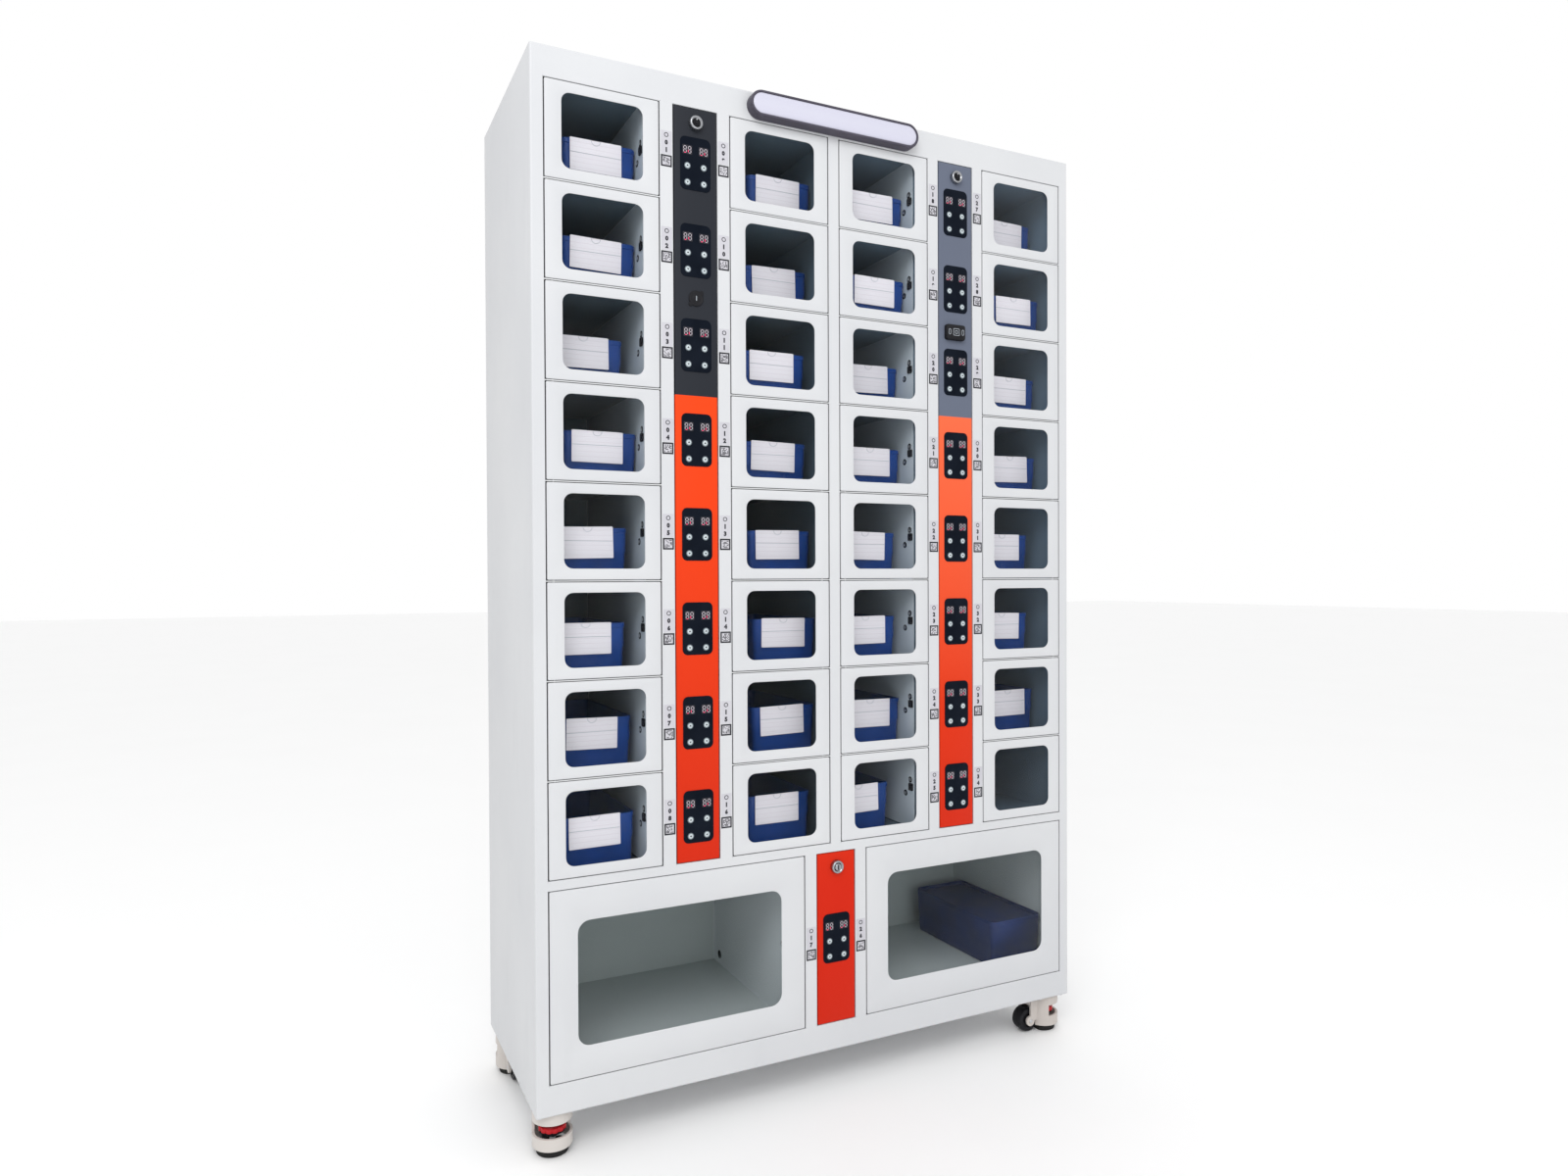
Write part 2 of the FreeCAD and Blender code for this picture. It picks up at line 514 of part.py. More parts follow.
# ---------------------------------------------------------------- latches
def latch(name, striker_x, face, towards_left, z):
    """An electric latch in the duct, with a slot for the striker, and its release tab."""
    slot = box(name + "_slot", f"{striker_x} - 4.5", f"{BEHIND} + 1", f"{z} - 13", 9, 20, 26)
    x = f"{face} - {d('sheet')} - {d('latch_width')}" if towards_left else f"{face} + {d('sheet')}"
    case = box(name + "_case", x, f"{FRONT} + {d('latch_start')}", f"{z} - {d('latch_half')}",
               d("latch_width"), d("latch_length"), f"2 * {d('latch_half')}")
    tab_x = face if towards_left else f"{face} - {d('tab_width')}"
    tab = box(name + "_tab", tab_x, f"{FRONT} + {d('latch_start')}", f"{z} - {d('tab_half')}",
              d("tab_width"), d("tab_length"), f"2 * {d('tab_half')}")
    return [cut(name, case, [slot]), tab]


latches = []
for column in range(COLUMNS):
    towards_left = column in RIGHT_HINGED
    striker = (f"({leaf_left(column)} + {d('striker_inset')})" if towards_left
               else f"({leaf_left(column)} + {d('leaf_width')} - {d('striker_inset')})")
    for row in range(ROWS):
        latches += latch(f"latch_{column}_{row}", striker, lock_wall_face(column), towards_left,
                         f"({leaf_low(row)} + {d('leaf_height')} / 2)")
latches += latch("latch_large_left", LARGE_STRIKER, LARGE_FACE, False, LARGE_MIDDLE)
latches += latch("latch_large_right", f"(-{LARGE_STRIKER})", f"(-{LARGE_FACE})", True, LARGE_MIDDLE)
nodes.append(group("door_latches", latches))


# ---------------------------------------------------------------- bins
def storage_bin(name, x, y, z):
    """An open-topped tub with its low left front corner at x, y, z."""
    wall = d("bin_wall")
    outer = box(name + "_outer", x, y, z, d("bin_width"), d("bin_length"), d("bin_height"))
    inner = box(name + "_inner", f"{x} + {wall}", f"{y} + {wall}", f"{z} + {wall}",
                f"{d('bin_width')} - 2 * {wall}", f"{d('bin_length')} - 2 * {wall}", d("bin_height"))
    return cut(name, outer, [inner])


def nested_bin(name):
    """A tub that hangs inside another by its rim, in the outer tub's own frame."""
    step = f"({d('bin_wall')} + {d('nest_gap')})"
    wall = f"({step} + {d('bin_wall')})"
    body = box(name + "_body", step, step, d("bin_wall"), f"{d('bin_width')} - 2 * {step}",
               f"{d('bin_length')} - 2 * {step}", f"{d('bin_height')} - {d('bin_wall')}")
    rim = box(name + "_rim", 0, 0, d("bin_height"), d("bin_width"), d("bin_length"), d("rim_height"))
    inner = box(name + "_inner", wall, wall, f"2 * {d('bin_wall')}",
                f"{d('bin_width')} - 2 * {wall}", f"{d('bin_length')} - 2 * {wall}",
                f"{d('bin_height')} + {d('rim_height')}")
    return cut(name, fuse(name + "_solid", [body, rim]), [inner])


bins = []
for column in range(COLUMNS):
    for row in range(ROWS):
        number = NUMBER_FIRST[column] + row
        if number == EMPTY_DOOR:
            continue
        x = f"({opening(column)[0]} + {d('edge_gap')} + {d(f'bin_{number:02d}_x')})"
        y = f"({FRONT} + {d(f'bin_{number:02d}_y')})"
        floor = (f"{boundary(row + 1)} + {d('shelf')} / 2" if row < ROWS - 1 else MIDDLE_PLATE)
        bins.append(storage_bin(f"bin_{column}_{row}", x, y, floor))
        bins.append(box(f"card_{column}_{row}", f"{x} + {d('card_inset')}", f"{y} - {d('card_thick')}",
                        f"{floor} + {d('card_lift')}", d("card_width"), d("card_thick"),
                        d("card_height")))
spare_bins = group("spare_bins", [storage_bin("spare_bin", 0, 0, 0), nested_bin("nested_bin")],
                   d("spare_x"), f"{FRONT} + {d('spare_y')}", LARGE_LOW)
spare_bins.Placement.Rotation = FreeCAD.Rotation(FreeCAD.Vector(0, 0, 1), SPARE_TURN)
bins.append(spare_bins)
nodes.append(group("storage_bins", bins))

# ---------------------------------------------------------------- casing
SIDE_DEPTH = f"({d('body_depth')} - {d('frame_depth')})"
INNER_WIDTH = f"({d('body_width')} - 2 * {d('sheet')})"
INNER_LEFT = f"({LEFT} + {d('sheet')})"
back_sheet = box("back_sheet", INNER_LEFT, f"{FRONT} + {d('body_depth')} - {d('sheet')}",
                 f"{LOW} + {d('sheet')}", INNER_WIDTH, d("sheet"),
                 f"{d('body_height')} - 2 * {d('sheet')}")
INLET_X = f"(-{d('inlet_width')} / 2)"
INLET_Z = f"({LOW} + 40)"
inlet_hole = box("inlet_hole", INLET_X, f"{FRONT} + {d('body_depth')} - 5", INLET_Z, d("inlet_width"),
                 10, d("inlet_height"))
nodes.append(group("casing_panels", [
    box("side_left", LEFT, BEHIND, LOW, d("sheet"), SIDE_DEPTH, d("body_height")),
    box("side_right", f"-{LEFT} - {d('sheet')}", BEHIND, LOW, d("sheet"), SIDE_DEPTH,
        d("body_height")),
    box("top_panel", INNER_LEFT, BEHIND, f"{TOP} - {d('sheet')}", INNER_WIDTH, SIDE_DEPTH,
        d("sheet")),
    cut("back_panel", back_sheet, [inlet_hole]),
]))

# ---------------------------------------------------------------- base and caster plates
CASTERS = {
    "fl": (f"({LEFT} + {d('caster_inset_x')})", f"({FRONT} + {d('caster_inset_y')})"),
    "fr": (f"(-{LEFT} - {d('caster_inset_x')})", f"({FRONT} + {d('caster_inset_y')})"),
    "rl": (f"({LEFT} + {d('caster_inset_x')})",
           f"({FRONT} + {d('body_depth')} - {d('caster_inset_y')})"),
    "rr": (f"(-{LEFT} - {d('caster_inset_x')})",
           f"({FRONT} + {d('body_depth')} - {d('caster_inset_y')})"),
}
PLATE_HALF = f"{d('plate_size')} / 2"
chassis = [box("base_panel", INNER_LEFT, BEHIND, LOW, INNER_WIDTH, SIDE_DEPTH, d("sheet"))]
for corner, (x, y) in CASTERS.items():
    under = f"({LOW} - {d('plate_thick')})"
    chassis.append(box(f"caster_plate_{corner}", f"{x} - {PLATE_HALF}", f"{y} - {PLATE_HALF}", under,
                       d("plate_size"), d("plate_size"), d("plate_thick")))
    for k, (i, j) in enumerate(((-1, -1), (1, -1), (-1, 1), (1, 1))):
        chassis.append(cylinder(f"plate_bolt_{corner}_{k}", f"{x} + {i} * {d('bolt_pitch')} / 2",
                                f"{y} + {j} * {d('bolt_pitch')} / 2", f"{under} - {d('bolt_head')}",
                                d("bolt_radius"), d("bolt_head")))
nodes.append(group("base_chassis", chassis))

# ---------------------------------------------------------------- casters
# In its own frame a caster swivels about Z through the origin, on the floor, and its wheel trails
# towards -X; the fork is one casting: head, skirt, cheeks and the lobes round the axle.
CHEEK_OUT = f"({d('cheek_gap')} + {d('cheek_thick')})"
shell_out = cylinder("shell_out", 0, 0, d("skirt_low"), d("skirt_radius"),
                     f"{d('head_high')} - {d('skirt_low')}")
shell_in = cylinder("shell_in", 0, 0, f"{d('skirt_low')} - 1",
                    f"{d('skirt_radius')} - {d('skirt_wall')}", f"{d('head_low')} - {d('skirt_low')} + 1")
cheeks = box("cheeks", f"-{d('wheel_offset')}", f"-{CHEEK_OUT}", d("wheel_height"),
             f"{d('wheel_offset')} - 20", f"2 * {CHEEK_OUT}", f"{d('head_high')} - 8 - {d('wheel_height')}")
lobes = cylinder("lobes", f"-{d('wheel_offset')}", f"-{CHEEK_OUT}", d("wheel_height"),
                 d("lobe_radius"), f"2 * {CHEEK_OUT}", axis="y")
front_window = box("front_window", -8, f"-{d('skirt_radius')} - 1", d("skirt_high"),
                   f"{d('skirt_radius')} + 10", f"2 * {d('skirt_radius')} + 2",
                   f"{d('head_low')} - {d('skirt_high')}")
wheel_slot = box("wheel_slot", -90, f"-{d('cheek_gap')}", 0, 76, f"2 * {d('cheek_gap')}", 60)
stem_bore = cylinder("stem_bore", 0, 0, d("skirt_low"), d("stem_bore"), 80)
axle_bore = cylinder("axle_bore", f"-{d('wheel_offset')}", "-40", d("wheel_height"), d("axle_bore"), 80,
                     axis="y")
fork = cut("fork", fuse("fork_solid", [cut("fork_shell", shell_out, [shell_in]), cheeks, lobes]),
           [front_window, wheel_slot, stem_bore, axle_bore])
wheel_disc = cylinder("wheel_disc", f"-{d('wheel_offset')}", f"-{d('wheel_half')}", d("wheel_height"),
                      d("wheel_radius"), f"2 * {d('wheel_half')}", axis="y")
wheel_axle = cylinder("wheel_axle", f"-{d('wheel_offset')}", f"-{CHEEK_OUT} - 1", d("wheel_height"),
                      d("axle_radius"), f"2 * {CHEEK_OUT} + 2", axis="y")
wheel = fuse("wheel", [wheel_disc, wheel_axle])
pad_disc = cylinder("pad_disc", 0, 0, 0, d("foot_radius"), d("foot_thick"))
pad_side = box("pad_side", f"-{d('foot_radius')} - 1", f"-{d('foot_radius')} - 1", -1,
               f"{d('foot_radius')} + 1 - {d('foot_flat')}", f"2 * {d('foot_radius')} + 2",
               f"{d('foot_thick')} + 2")
foot = [
    cut("foot_pad", pad_disc, [pad_side]),
    cylinder("stem_low", 0, 0, d("foot_thick"), d("stem_radius"),
             f"{d('nut_low')} - {d('foot_thick')}"),
    cylinder("foot_nut", 0, 0, d("nut_low"), d("nut_radius"), d("nut_thick")),
    cylinder("stem_mid", 0, 0, f"{d('nut_low')} + {d('nut_thick')}", d("stem_radius"),
             f"{d('thumb_low')} - {d('nut_low')} - {d('nut_thick')}"),
    cylinder("thumbwheel", 0, 0, d("thumb_low"), d("thumb_radius"), d("thumb_thick")),
    cylinder("stem_high", 0, 0, f"{d('thumb_low')} + {d('thumb_thick')}", d("stem_radius"),
             f"{d('stem_top')} - {d('thumb_low')} - {d('thumb_thick')}"),
]
for corner, (x, y) in CASTERS.items():
    for label, items in (("fork", [fork]), ("wheel", [wheel]), ("foot", foot)):
        node = group(f"caster_{corner}_{label}", items, x, y)
        node.Placement.Rotation = FreeCAD.Rotation(FreeCAD.Vector(0, 0, 1), CASTER_ANGLES[corner])
        nodes.append(node)

# ---------------------------------------------------------------- lamp
def slot_body(name, width, height, depth):
    """A body padded from a stadium-shaped sketch on the XZ plane, centred on the origin."""
    body = doc.addObject("PartDesign::Body", name)
    sketch = body.newObject("Sketcher::SketchObject", name + "_sketch")
    plane = [f for f in body.Origin.OriginFeatures if f.Role == "XZ_Plane"][0]
    sketch.AttachmentSupport = [(plane, "")]
    sketch.MapMode = "FlatFace"
    half, radius = 160.0, 24.0
    vector = FreeCAD.Vector
    across = vector(0, 0, 1)
    top = sketch.addGeometry(Part.LineSegment(vector(-half, radius, 0), vector(half, radius, 0)))
    low = sketch.addGeometry(Part.LineSegment(vector(half, -radius, 0), vector(-half, -radius, 0)))
    quarter = 1.5707963267948966
    right = sketch.addGeometry(Part.ArcOfCircle(Part.Circle(vector(half, 0, 0), across, radius),
                                                -quarter, quarter))
    left = sketch.addGeometry(Part.ArcOfCircle(Part.Circle(vector(-half, 0, 0), across, radius),
                                               quarter, 3 * quarter))
    import Sketcher
    constraint = Sketcher.Constraint
    sketch.addConstraint([
        constraint("Tangent", top, 2, right, 2), constraint("Tangent", low, 1, right, 1),
        constraint("Tangent", top, 1, left, 1), constraint("Tangent", low, 2, left, 2),
        constraint("Horizontal", top), constraint("Symmetric", right, 3, left, 3, -1, 1),
    ])
    radius_row = sketch.addConstraint(constraint("Radius", right, radius))
    sketch.renameConstraint(radius_row, "EndRadius")
    reach_row = sketch.addConstraint(constraint("DistanceX", left, 3, right, 3, 2 * half))
    sketch.renameConstraint(reach_row, "Reach")
    sketch.setExpression("Constraints.EndRadius", f"({height}) / 2")
    sketch.setExpression("Constraints.Reach", f"({width}) - ({height})")
    pad = body.newObject("PartDesign::Pad", name + "_pad")
    pad.Profile = sketch
    pad.setExpression("Length", str(depth))
    body.Tip = pad
    return body


LAMP_RIM = f"2 * {d('lamp_rim')}"
lamp_outer = slot_body("lamp_outer", d("lamp_width"), d("lamp_height"), d("lamp_depth"))
lamp_hollow = slot_body("lamp_hollow", f"{d('lamp_width')} - {LAMP_RIM}",
                        f"{d('lamp_height')} - {LAMP_RIM}", f"{d('lamp_depth')} - 2")
lamp_lens = slot_body("lamp_lens", f"{d('lamp_width')} - {LAMP_RIM}",
                      f"{d('lamp_height')} - {LAMP_RIM}", d("lamp_lens"))
# A pad on this plane grows towards -Y, so each body is placed by its rear face.
place(lamp_hollow, 0, -3, 0)
lamp_housing = cut("lamp_housing", lamp_outer, [lamp_hollow])
place(lamp_lens, 0, f"-({d('lamp_depth')} - {d('lamp_lens')})", 0)
led_board = box("led_board", f"-({d('lamp_width')} / 2 - 40)", -4.6, -8,
                f"{d('lamp_width')} - 80", 1.6, 16)
nodes.append(group("header_lamp", [lamp_housing, lamp_lens, led_board], 0, FRONT,
                   f"{TOP} - {d('lamp_drop')} - {d('lamp_height')} / 2"))

# ---------------------------------------------------------------- electronics
BOARD_Y = f"({FRONT} + 150)"
electronics = [
    box(f"controller_{side}", f"{STRIP_LEFT[side]} + ({d('strip_width')} - {d('board_width')}) / 2",
        BOARD_Y, f"{ROWS_LOW} + 560", d("board_width"), d("board_depth"), d("board_height"))
    for side in ("left", "right")
]
electronics.append(box("power_supply", f"-{d('supply_width')} / 2", BOARD_Y, LARGE_LOW,
                       d("supply_width"), d("supply_depth"), d("supply_height")))
electronics.append(box("mains_inlet", INLET_X, f"{FRONT} + {d('body_depth')} - 20", INLET_Z,
                       d("inlet_width"), 20, d("inlet_height")))
nodes.append(group("control_electronics", electronics))

# ---------------------------------------------------------------- check and write
doc.recompute()
broken = [item.Label for item in doc.Objects if {"Invalid", "Error"} & set(item.State)]
if broken:
    raise SystemExit(f"these objects failed: {broken}")
for node in nodes:
    if node.Shape.isNull() or not node.Shape.isValid():
        raise SystemExit(f"{node.Label} has no valid shape")
os.makedirs("parts", exist_ok=True)
for node in nodes:
    node.Shape.exportStep(f"parts/{node.Label}.step")
    limits = node.Shape.BoundBox
    print(f"{node.Label}: {len(node.Shape.Solids)} solids, {node.Shape.Volume / 1000:.1f} cm3, "
          f"z {limits.ZMin:.1f} to {limits.ZMax:.1f}")
print(len(nodes), "nodes")
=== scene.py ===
"""Looks of the compartment kiosk: painted sheet steel, windowed doors, control strips, bins, casters.

Lengths are in millimetres until a piece is written, when they become metres. X runs to the right
along the doors, Y from the front to the back, Z up.
"""
import json
import math

import bmesh
import bpy
import numpy as np
from mathutils import Matrix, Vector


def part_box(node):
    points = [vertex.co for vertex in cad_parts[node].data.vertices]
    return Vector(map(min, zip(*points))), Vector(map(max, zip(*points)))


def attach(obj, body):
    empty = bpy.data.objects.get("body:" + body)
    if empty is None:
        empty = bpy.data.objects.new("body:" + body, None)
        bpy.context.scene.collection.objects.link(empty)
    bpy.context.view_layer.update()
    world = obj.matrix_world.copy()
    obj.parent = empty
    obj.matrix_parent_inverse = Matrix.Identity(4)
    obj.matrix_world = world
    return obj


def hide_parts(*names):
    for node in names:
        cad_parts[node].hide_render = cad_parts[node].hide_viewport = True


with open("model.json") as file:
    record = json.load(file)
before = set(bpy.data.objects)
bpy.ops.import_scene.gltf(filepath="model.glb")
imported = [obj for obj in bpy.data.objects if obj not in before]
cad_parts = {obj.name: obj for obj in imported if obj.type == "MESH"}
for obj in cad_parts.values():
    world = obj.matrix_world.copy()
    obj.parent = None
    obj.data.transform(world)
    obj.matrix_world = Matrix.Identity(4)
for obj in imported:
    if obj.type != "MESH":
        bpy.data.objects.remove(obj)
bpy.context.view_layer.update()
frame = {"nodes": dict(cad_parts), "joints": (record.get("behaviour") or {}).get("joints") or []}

MM = 0.001
SHEET = 1.2                                  # thickness of the sheet steel
STRIPS = ("left", "right", "centre")
CORNERS = ("fl", "fr", "rl", "rr")
JOINTS = {joint["name"]: joint for joint in frame["joints"]}
COLUMN_START = (1, 9, 18, 27)                # number of the top door in each column
ROWS = 8
ROW_PITCH = 175.7
WALL_INSET = 25                              # from a leaf's free edge to the lock wall's face
FLOOR_RISE = 6.5                             # the large compartments' floor above their leaves' low edge
DOORS = [f"door_{n:02d}" for n in range(1, 35)]


def limits(node):
    """Low and high corner of a CAD node, in millimetres."""
    low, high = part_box(node)
    return np.array(low) / MM, np.array(high) / MM


def pivot_of(joint):
    """A joint's place, in millimetres."""
    return np.array(JOINTS[joint]["pos_m"]) / MM


def hinged_right(name):
    """Whether a door's hinge is at its right edge."""
    low, high = limits(name)
    return pivot_of(name + "_hinge")[0] > (low[0] + high[0]) / 2


FRONT = limits("front_frame")[0][1]          # the plane of the doors' faces
BODY_LOW, BODY_HIGH = (np.minimum(limits("front_frame")[0], limits("casing_panels")[0]),
                       np.maximum(limits("front_frame")[1], limits("casing_panels")[1]))
BODY_MIDDLE = (BODY_LOW + BODY_HIGH) / 2


# ---------------------------------------------------------------- surfaces
def loop(width, height, radius, corner=5):
    """A rounded rectangle about the origin, as (n, 2) points. Each corner is a quarter circle:
    the corner's centre plus radius times (cos t, sin t), with t over a quarter turn."""
    radius = min(max(radius, 0.02), width / 2, height / 2)
    turns = np.arange(4)[:, None] * 90 + np.linspace(0, 90, corner + 1)[None, :]
    t = np.radians(turns.ravel())
    side_x = np.repeat([1, -1, -1, 1], corner + 1) * (width / 2 - radius)
    side_z = np.repeat([1, 1, -1, -1], corner + 1) * (height / 2 - radius)
    return np.stack([side_x + radius * np.cos(t), side_z + radius * np.sin(t)], axis=1)


PLANES = {"xz": (0, 2, 1), "xy": (0, 1, 2), "yz": (1, 2, 0)}


def lift(flat, offset, plane="xz"):
    """Puts flat points on a plane of that name, at an offset along its normal axis."""
    first, second, normal = PLANES[plane]
    points = np.zeros((len(flat), 3))
    points[:, first], points[:, second], points[:, normal] = flat[:, 0], flat[:, 1], offset
    return points


def slab(centre, size, radius, steps, plane="xz", corner=5):
    """Layers of one rounded rectangle: for each (offset, inset) in steps, the rectangle shrunk by
    the inset all round and moved along the normal by the offset."""
    layers = [lift(loop(size[0] - 2 * inset, size[1] - 2 * inset, radius - inset, corner), offset, plane)
              for offset, inset in steps]
    return np.array(layers) + np.asarray(centre, float)


def turned(profile, centre, axis=(0, 1, 0), count=32):
    """A lathe form: each (along, radius) of the profile becomes the circle centre + along * axis
    + radius * (cos t * u + sin t * v), with u and v across the axis."""
    axis = np.asarray(axis, float) / np.linalg.norm(axis)
    helper = np.array([0, 0, 1.0]) if abs(axis[2]) < 0.9 else np.array([1.0, 0, 0])
    u = np.cross(helper, axis)
    u /= np.linalg.norm(u)
    v = np.cross(axis, u)
    profile = np.asarray(profile, float)
    t = np.linspace(0, 2 * np.pi, count, endpoint=False)
    ring = np.cos(t)[:, None] * u + np.sin(t)[:, None] * v
    return (np.asarray(centre, float) + profile[:, 0, None, None] * axis
            + np.maximum(profile[:, 1], 0.01)[:, None, None] * ring[None])


def block(low, high, edge):
    """A block with softened edges: a slab whose first and last layers are inset by the edge."""
    low, high = np.asarray(low, float), np.asarray(high, float)
    front, rear = low[1], high[1]
    steps = [(front, edge), (front + edge, 0), (rear - edge, 0), (rear, edge)]
    size = high - low
    return slab((low + high) / 2 * (1, 0, 1), (size[0], size[2]), edge, steps, corner=2)


class Piece:
    """Closed shells gathered into one object, each with its own finish."""

    def __init__(self, name, body, *nodes, slot=None):
        self.name, self.body, self.nodes, self.slot = name, body, nodes, slot
        self.points, self.faces, self.marks, self.finishes, self.count = [], [], [], [], 0

    def _mark(self, finish):
        if finish not in self.finishes:
            self.finishes.append(finish)
        return self.finishes.index(finish)

    def skin(self, layers, finish, ring=False):
        """Joins layers of points (k, n, 3) by quads. A ring closes its last layer on its first;
        otherwise the two end layers are capped."""
        k, n = layers.shape[:2]
        i = np.arange(k if ring else k - 1)[:, None]
        j = np.arange(n)[None, :]
        up, over = (i + 1) % k, (j + 1) % n
        quads = np.stack(np.broadcast_arrays(i * n + j, i * n + over, up * n + over, up * n + j), -1)
        quads = quads.reshape(-1, 4) + self.count
        faces = quads.tolist()
        if not ring:
            faces += [(np.arange(n)[::-1] + self.count).tolist(),
                      (np.arange(n) + (k - 1) * n + self.count).tolist()]
        return self.raw(layers.reshape(-1, 3), faces, finish)

    def raw(self, points, faces, finish):
        """Adds points and faces whose indices already count from this piece's first point."""
        self.points.append(points)
        self.faces += faces
        self.marks += [self._mark(finish)] * len(faces)
        self.count += len(points)
        return self

    def copies(self, layers, places, finish, ring=False):
        """The same shell at each of several places."""
        for place in places:
            self.skin(layers + np.asarray(place, float), finish, ring)
        return self

    def build(self, angle=32):
        """Writes the mesh with outward faces and sharp edges past the angle, and rides it."""
        mesh = bpy.data.meshes.new(self.name)
        mesh.from_pydata((np.concatenate(self.points) * MM).tolist(), [], self.faces)
        for finish in self.finishes:
            mesh.materials.append(finish)
        mesh.polygons.foreach_set("material_index", np.array(self.marks, np.int32))
        work = bmesh.new()
        work.from_mesh(mesh)
        bmesh.ops.recalc_face_normals(work, faces=work.faces)
        work.to_mesh(mesh)
        work.free()
        mesh.polygons.foreach_set("use_smooth", np.ones(len(mesh.polygons), bool))
        mesh.set_sharp_from_angle(angle=math.radians(angle))
        item = bpy.data.objects.new(self.name, mesh)
        bpy.context.scene.collection.objects.link(item)
        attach(item, self.body)
        if self.nodes:
            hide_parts(*self.nodes)
        return item


# ---------------------------------------------------------------- finishes
class Flow:
    """A number or colour on its way through a material; arithmetic on it adds Math nodes."""

    def __init__(self, finish, socket):
        self.finish, self.socket = finish, socket

    def _math(self, operation, *others):
        values = dict(enumerate((self, *others)))
        return self.finish.node("ShaderNodeMath", {"operation": operation}, values)

    def __add__(self, other): return self._math("ADD", other)
    def __radd__(self, other): return self._math("ADD", other)
    def __sub__(self, other): return self._math("SUBTRACT", other)
    def __mul__(self, other): return self._math("MULTIPLY", other)
    def __rmul__(self, other): return self._math("MULTIPLY", other)
    def __gt__(self, other): return self._math("GREATER_THAN", other)
    def __lt__(self, other): return self._math("LESS_THAN", other)

    def __rsub__(self, other):
        return self.finish.node("ShaderNodeMath", {"operation": "SUBTRACT"}, {0: other, 1: self})

    def absolute(self): return self._math("ABSOLUTE")
    def wrap(self, length): return self._math("PINGPONG", length)
    def near(self, value, reach): return self._math("COMPARE", value, reach)


class Finish:
    """One material under construction."""

    def __init__(self, name, **uniform):
        self.material = bpy.data.materials.new(name)
        self.material.use_nodes = True
        self.tree = self.material.node_tree
        self.shader = self.tree.nodes["Principled BSDF"]
        for socket, value in uniform.items():
            self.shader.inputs[socket.replace("_", " ")].default_value = value
        coordinates = self.tree.nodes.new("ShaderNodeTexCoord")
        self.place = Flow(self, coordinates.outputs["Object"])
        parts = self.node("ShaderNodeSeparateXYZ", {}, {"Vector": self.place}, output=None)
        self.x, self.y, self.z = (Flow(self, socket) for socket in parts.outputs)

    def node(self, kind, settings, values, output=0):
        """Adds a node: settings first, then a value or link for each named socket."""
        made = self.tree.nodes.new(kind)
        for key, value in settings.items():
            setattr(made, key, value)
        for key, value in values.items():
            if isinstance(value, Flow):
                self.tree.links.new(value.socket, made.inputs[key])
            else:
                made.inputs[key].default_value = value
        return made if output is None else Flow(self, made.outputs[output])

    def noise(self, scale, detail=3.0, rough=0.55):
        return self.node("ShaderNodeTexNoise", {}, {"Vector": self.place, "Scale": scale, "Detail": detail,
                                                    "Roughness": rough})

    def stretched(self, factors, scale, detail=3.0):
        """Noise on coordinates multiplied by a factor along each axis."""
        where = self.node("ShaderNodeVectorMath", {"operation": "MULTIPLY"}, {0: self.place, 1: factors})
        return self.node("ShaderNodeTexNoise", {}, {"Vector": where, "Scale": scale, "Detail": detail})

    def between(self, factor, first, second):
        """A colour between two, by a factor from 0 to 1."""
        mix = self.node("ShaderNodeMix", {"data_type": "RGBA"}, {"Factor": factor}, output=None)
        for socket, colour in ((mix.inputs[6], first), (mix.inputs[7], second)):
            if isinstance(colour, Flow):
                self.tree.links.new(colour.socket, socket)
            else:
                socket.default_value = (*colour, 1)
        return Flow(self, mix.outputs[2])

    def span(self, value, low, high, out_low, out_high):
        return self.node("ShaderNodeMapRange", {"clamp": True}, {0: value, 1: low, 2: high, 3: out_low,
                                                                 4: out_high})

    def bump(self, height, strength, distance, under=None):
        values = {"Height": height, "Strength": strength, "Distance": distance}
        if under is not None:
            values["Normal"] = under
        return self.node("ShaderNodeBump", {}, values)

    def feed(self, **sockets):
        for socket, flow in sockets.items():
            self.tree.links.new(flow.socket, self.shader.inputs[socket.replace("_", " ")])
        return self.material


def powder(name, colour, shade, rough=0.42, soft_edges=False, folded=False):
    """Powder coat: an orange-peel bump, a faint cloudiness in colour and gloss, and light handling
    marks. On a folded sheet the returns behind the face darken towards near-black, a painted shade
    for the deep gaps round the doors and openings."""
    f = Finish(name, Specular_IOR_Level=0.4)
    cloud = f.noise(2.3, 4)
    peel = f.noise(900, 2)
    marks = f.span(f.stretched((1, 1, 0.35), 14, 5), 0.60, 0.78, 0, 1)
    tint = f.between(f.span(cloud, 0.35, 0.65, 0, 1), colour, shade)
    # painted shade: from about 1 mm behind the face the sheet darkens towards near-black, standing for the
    # shade in the door gaps
    if folded:
        tint = f.between(f.span(f.y, (FRONT + 0.9) * MM, (FRONT + 4) * MM, 0, 0.8), tint, (0.10, 0.105, 0.11))
    under = None
    if soft_edges:
        under = f.node("ShaderNodeBevel", {"samples": 4}, {"Radius": 0.0008})
    return f.feed(Base_Color=f.between(marks * 0.10, tint, tuple(c * 0.8 for c in shade)),
                  Roughness=f.span(cloud, 0.3, 0.7, rough - 0.05, rough + 0.06) + marks * 0.05,
                  Normal=f.bump(peel, 0.10, 0.0002, under))


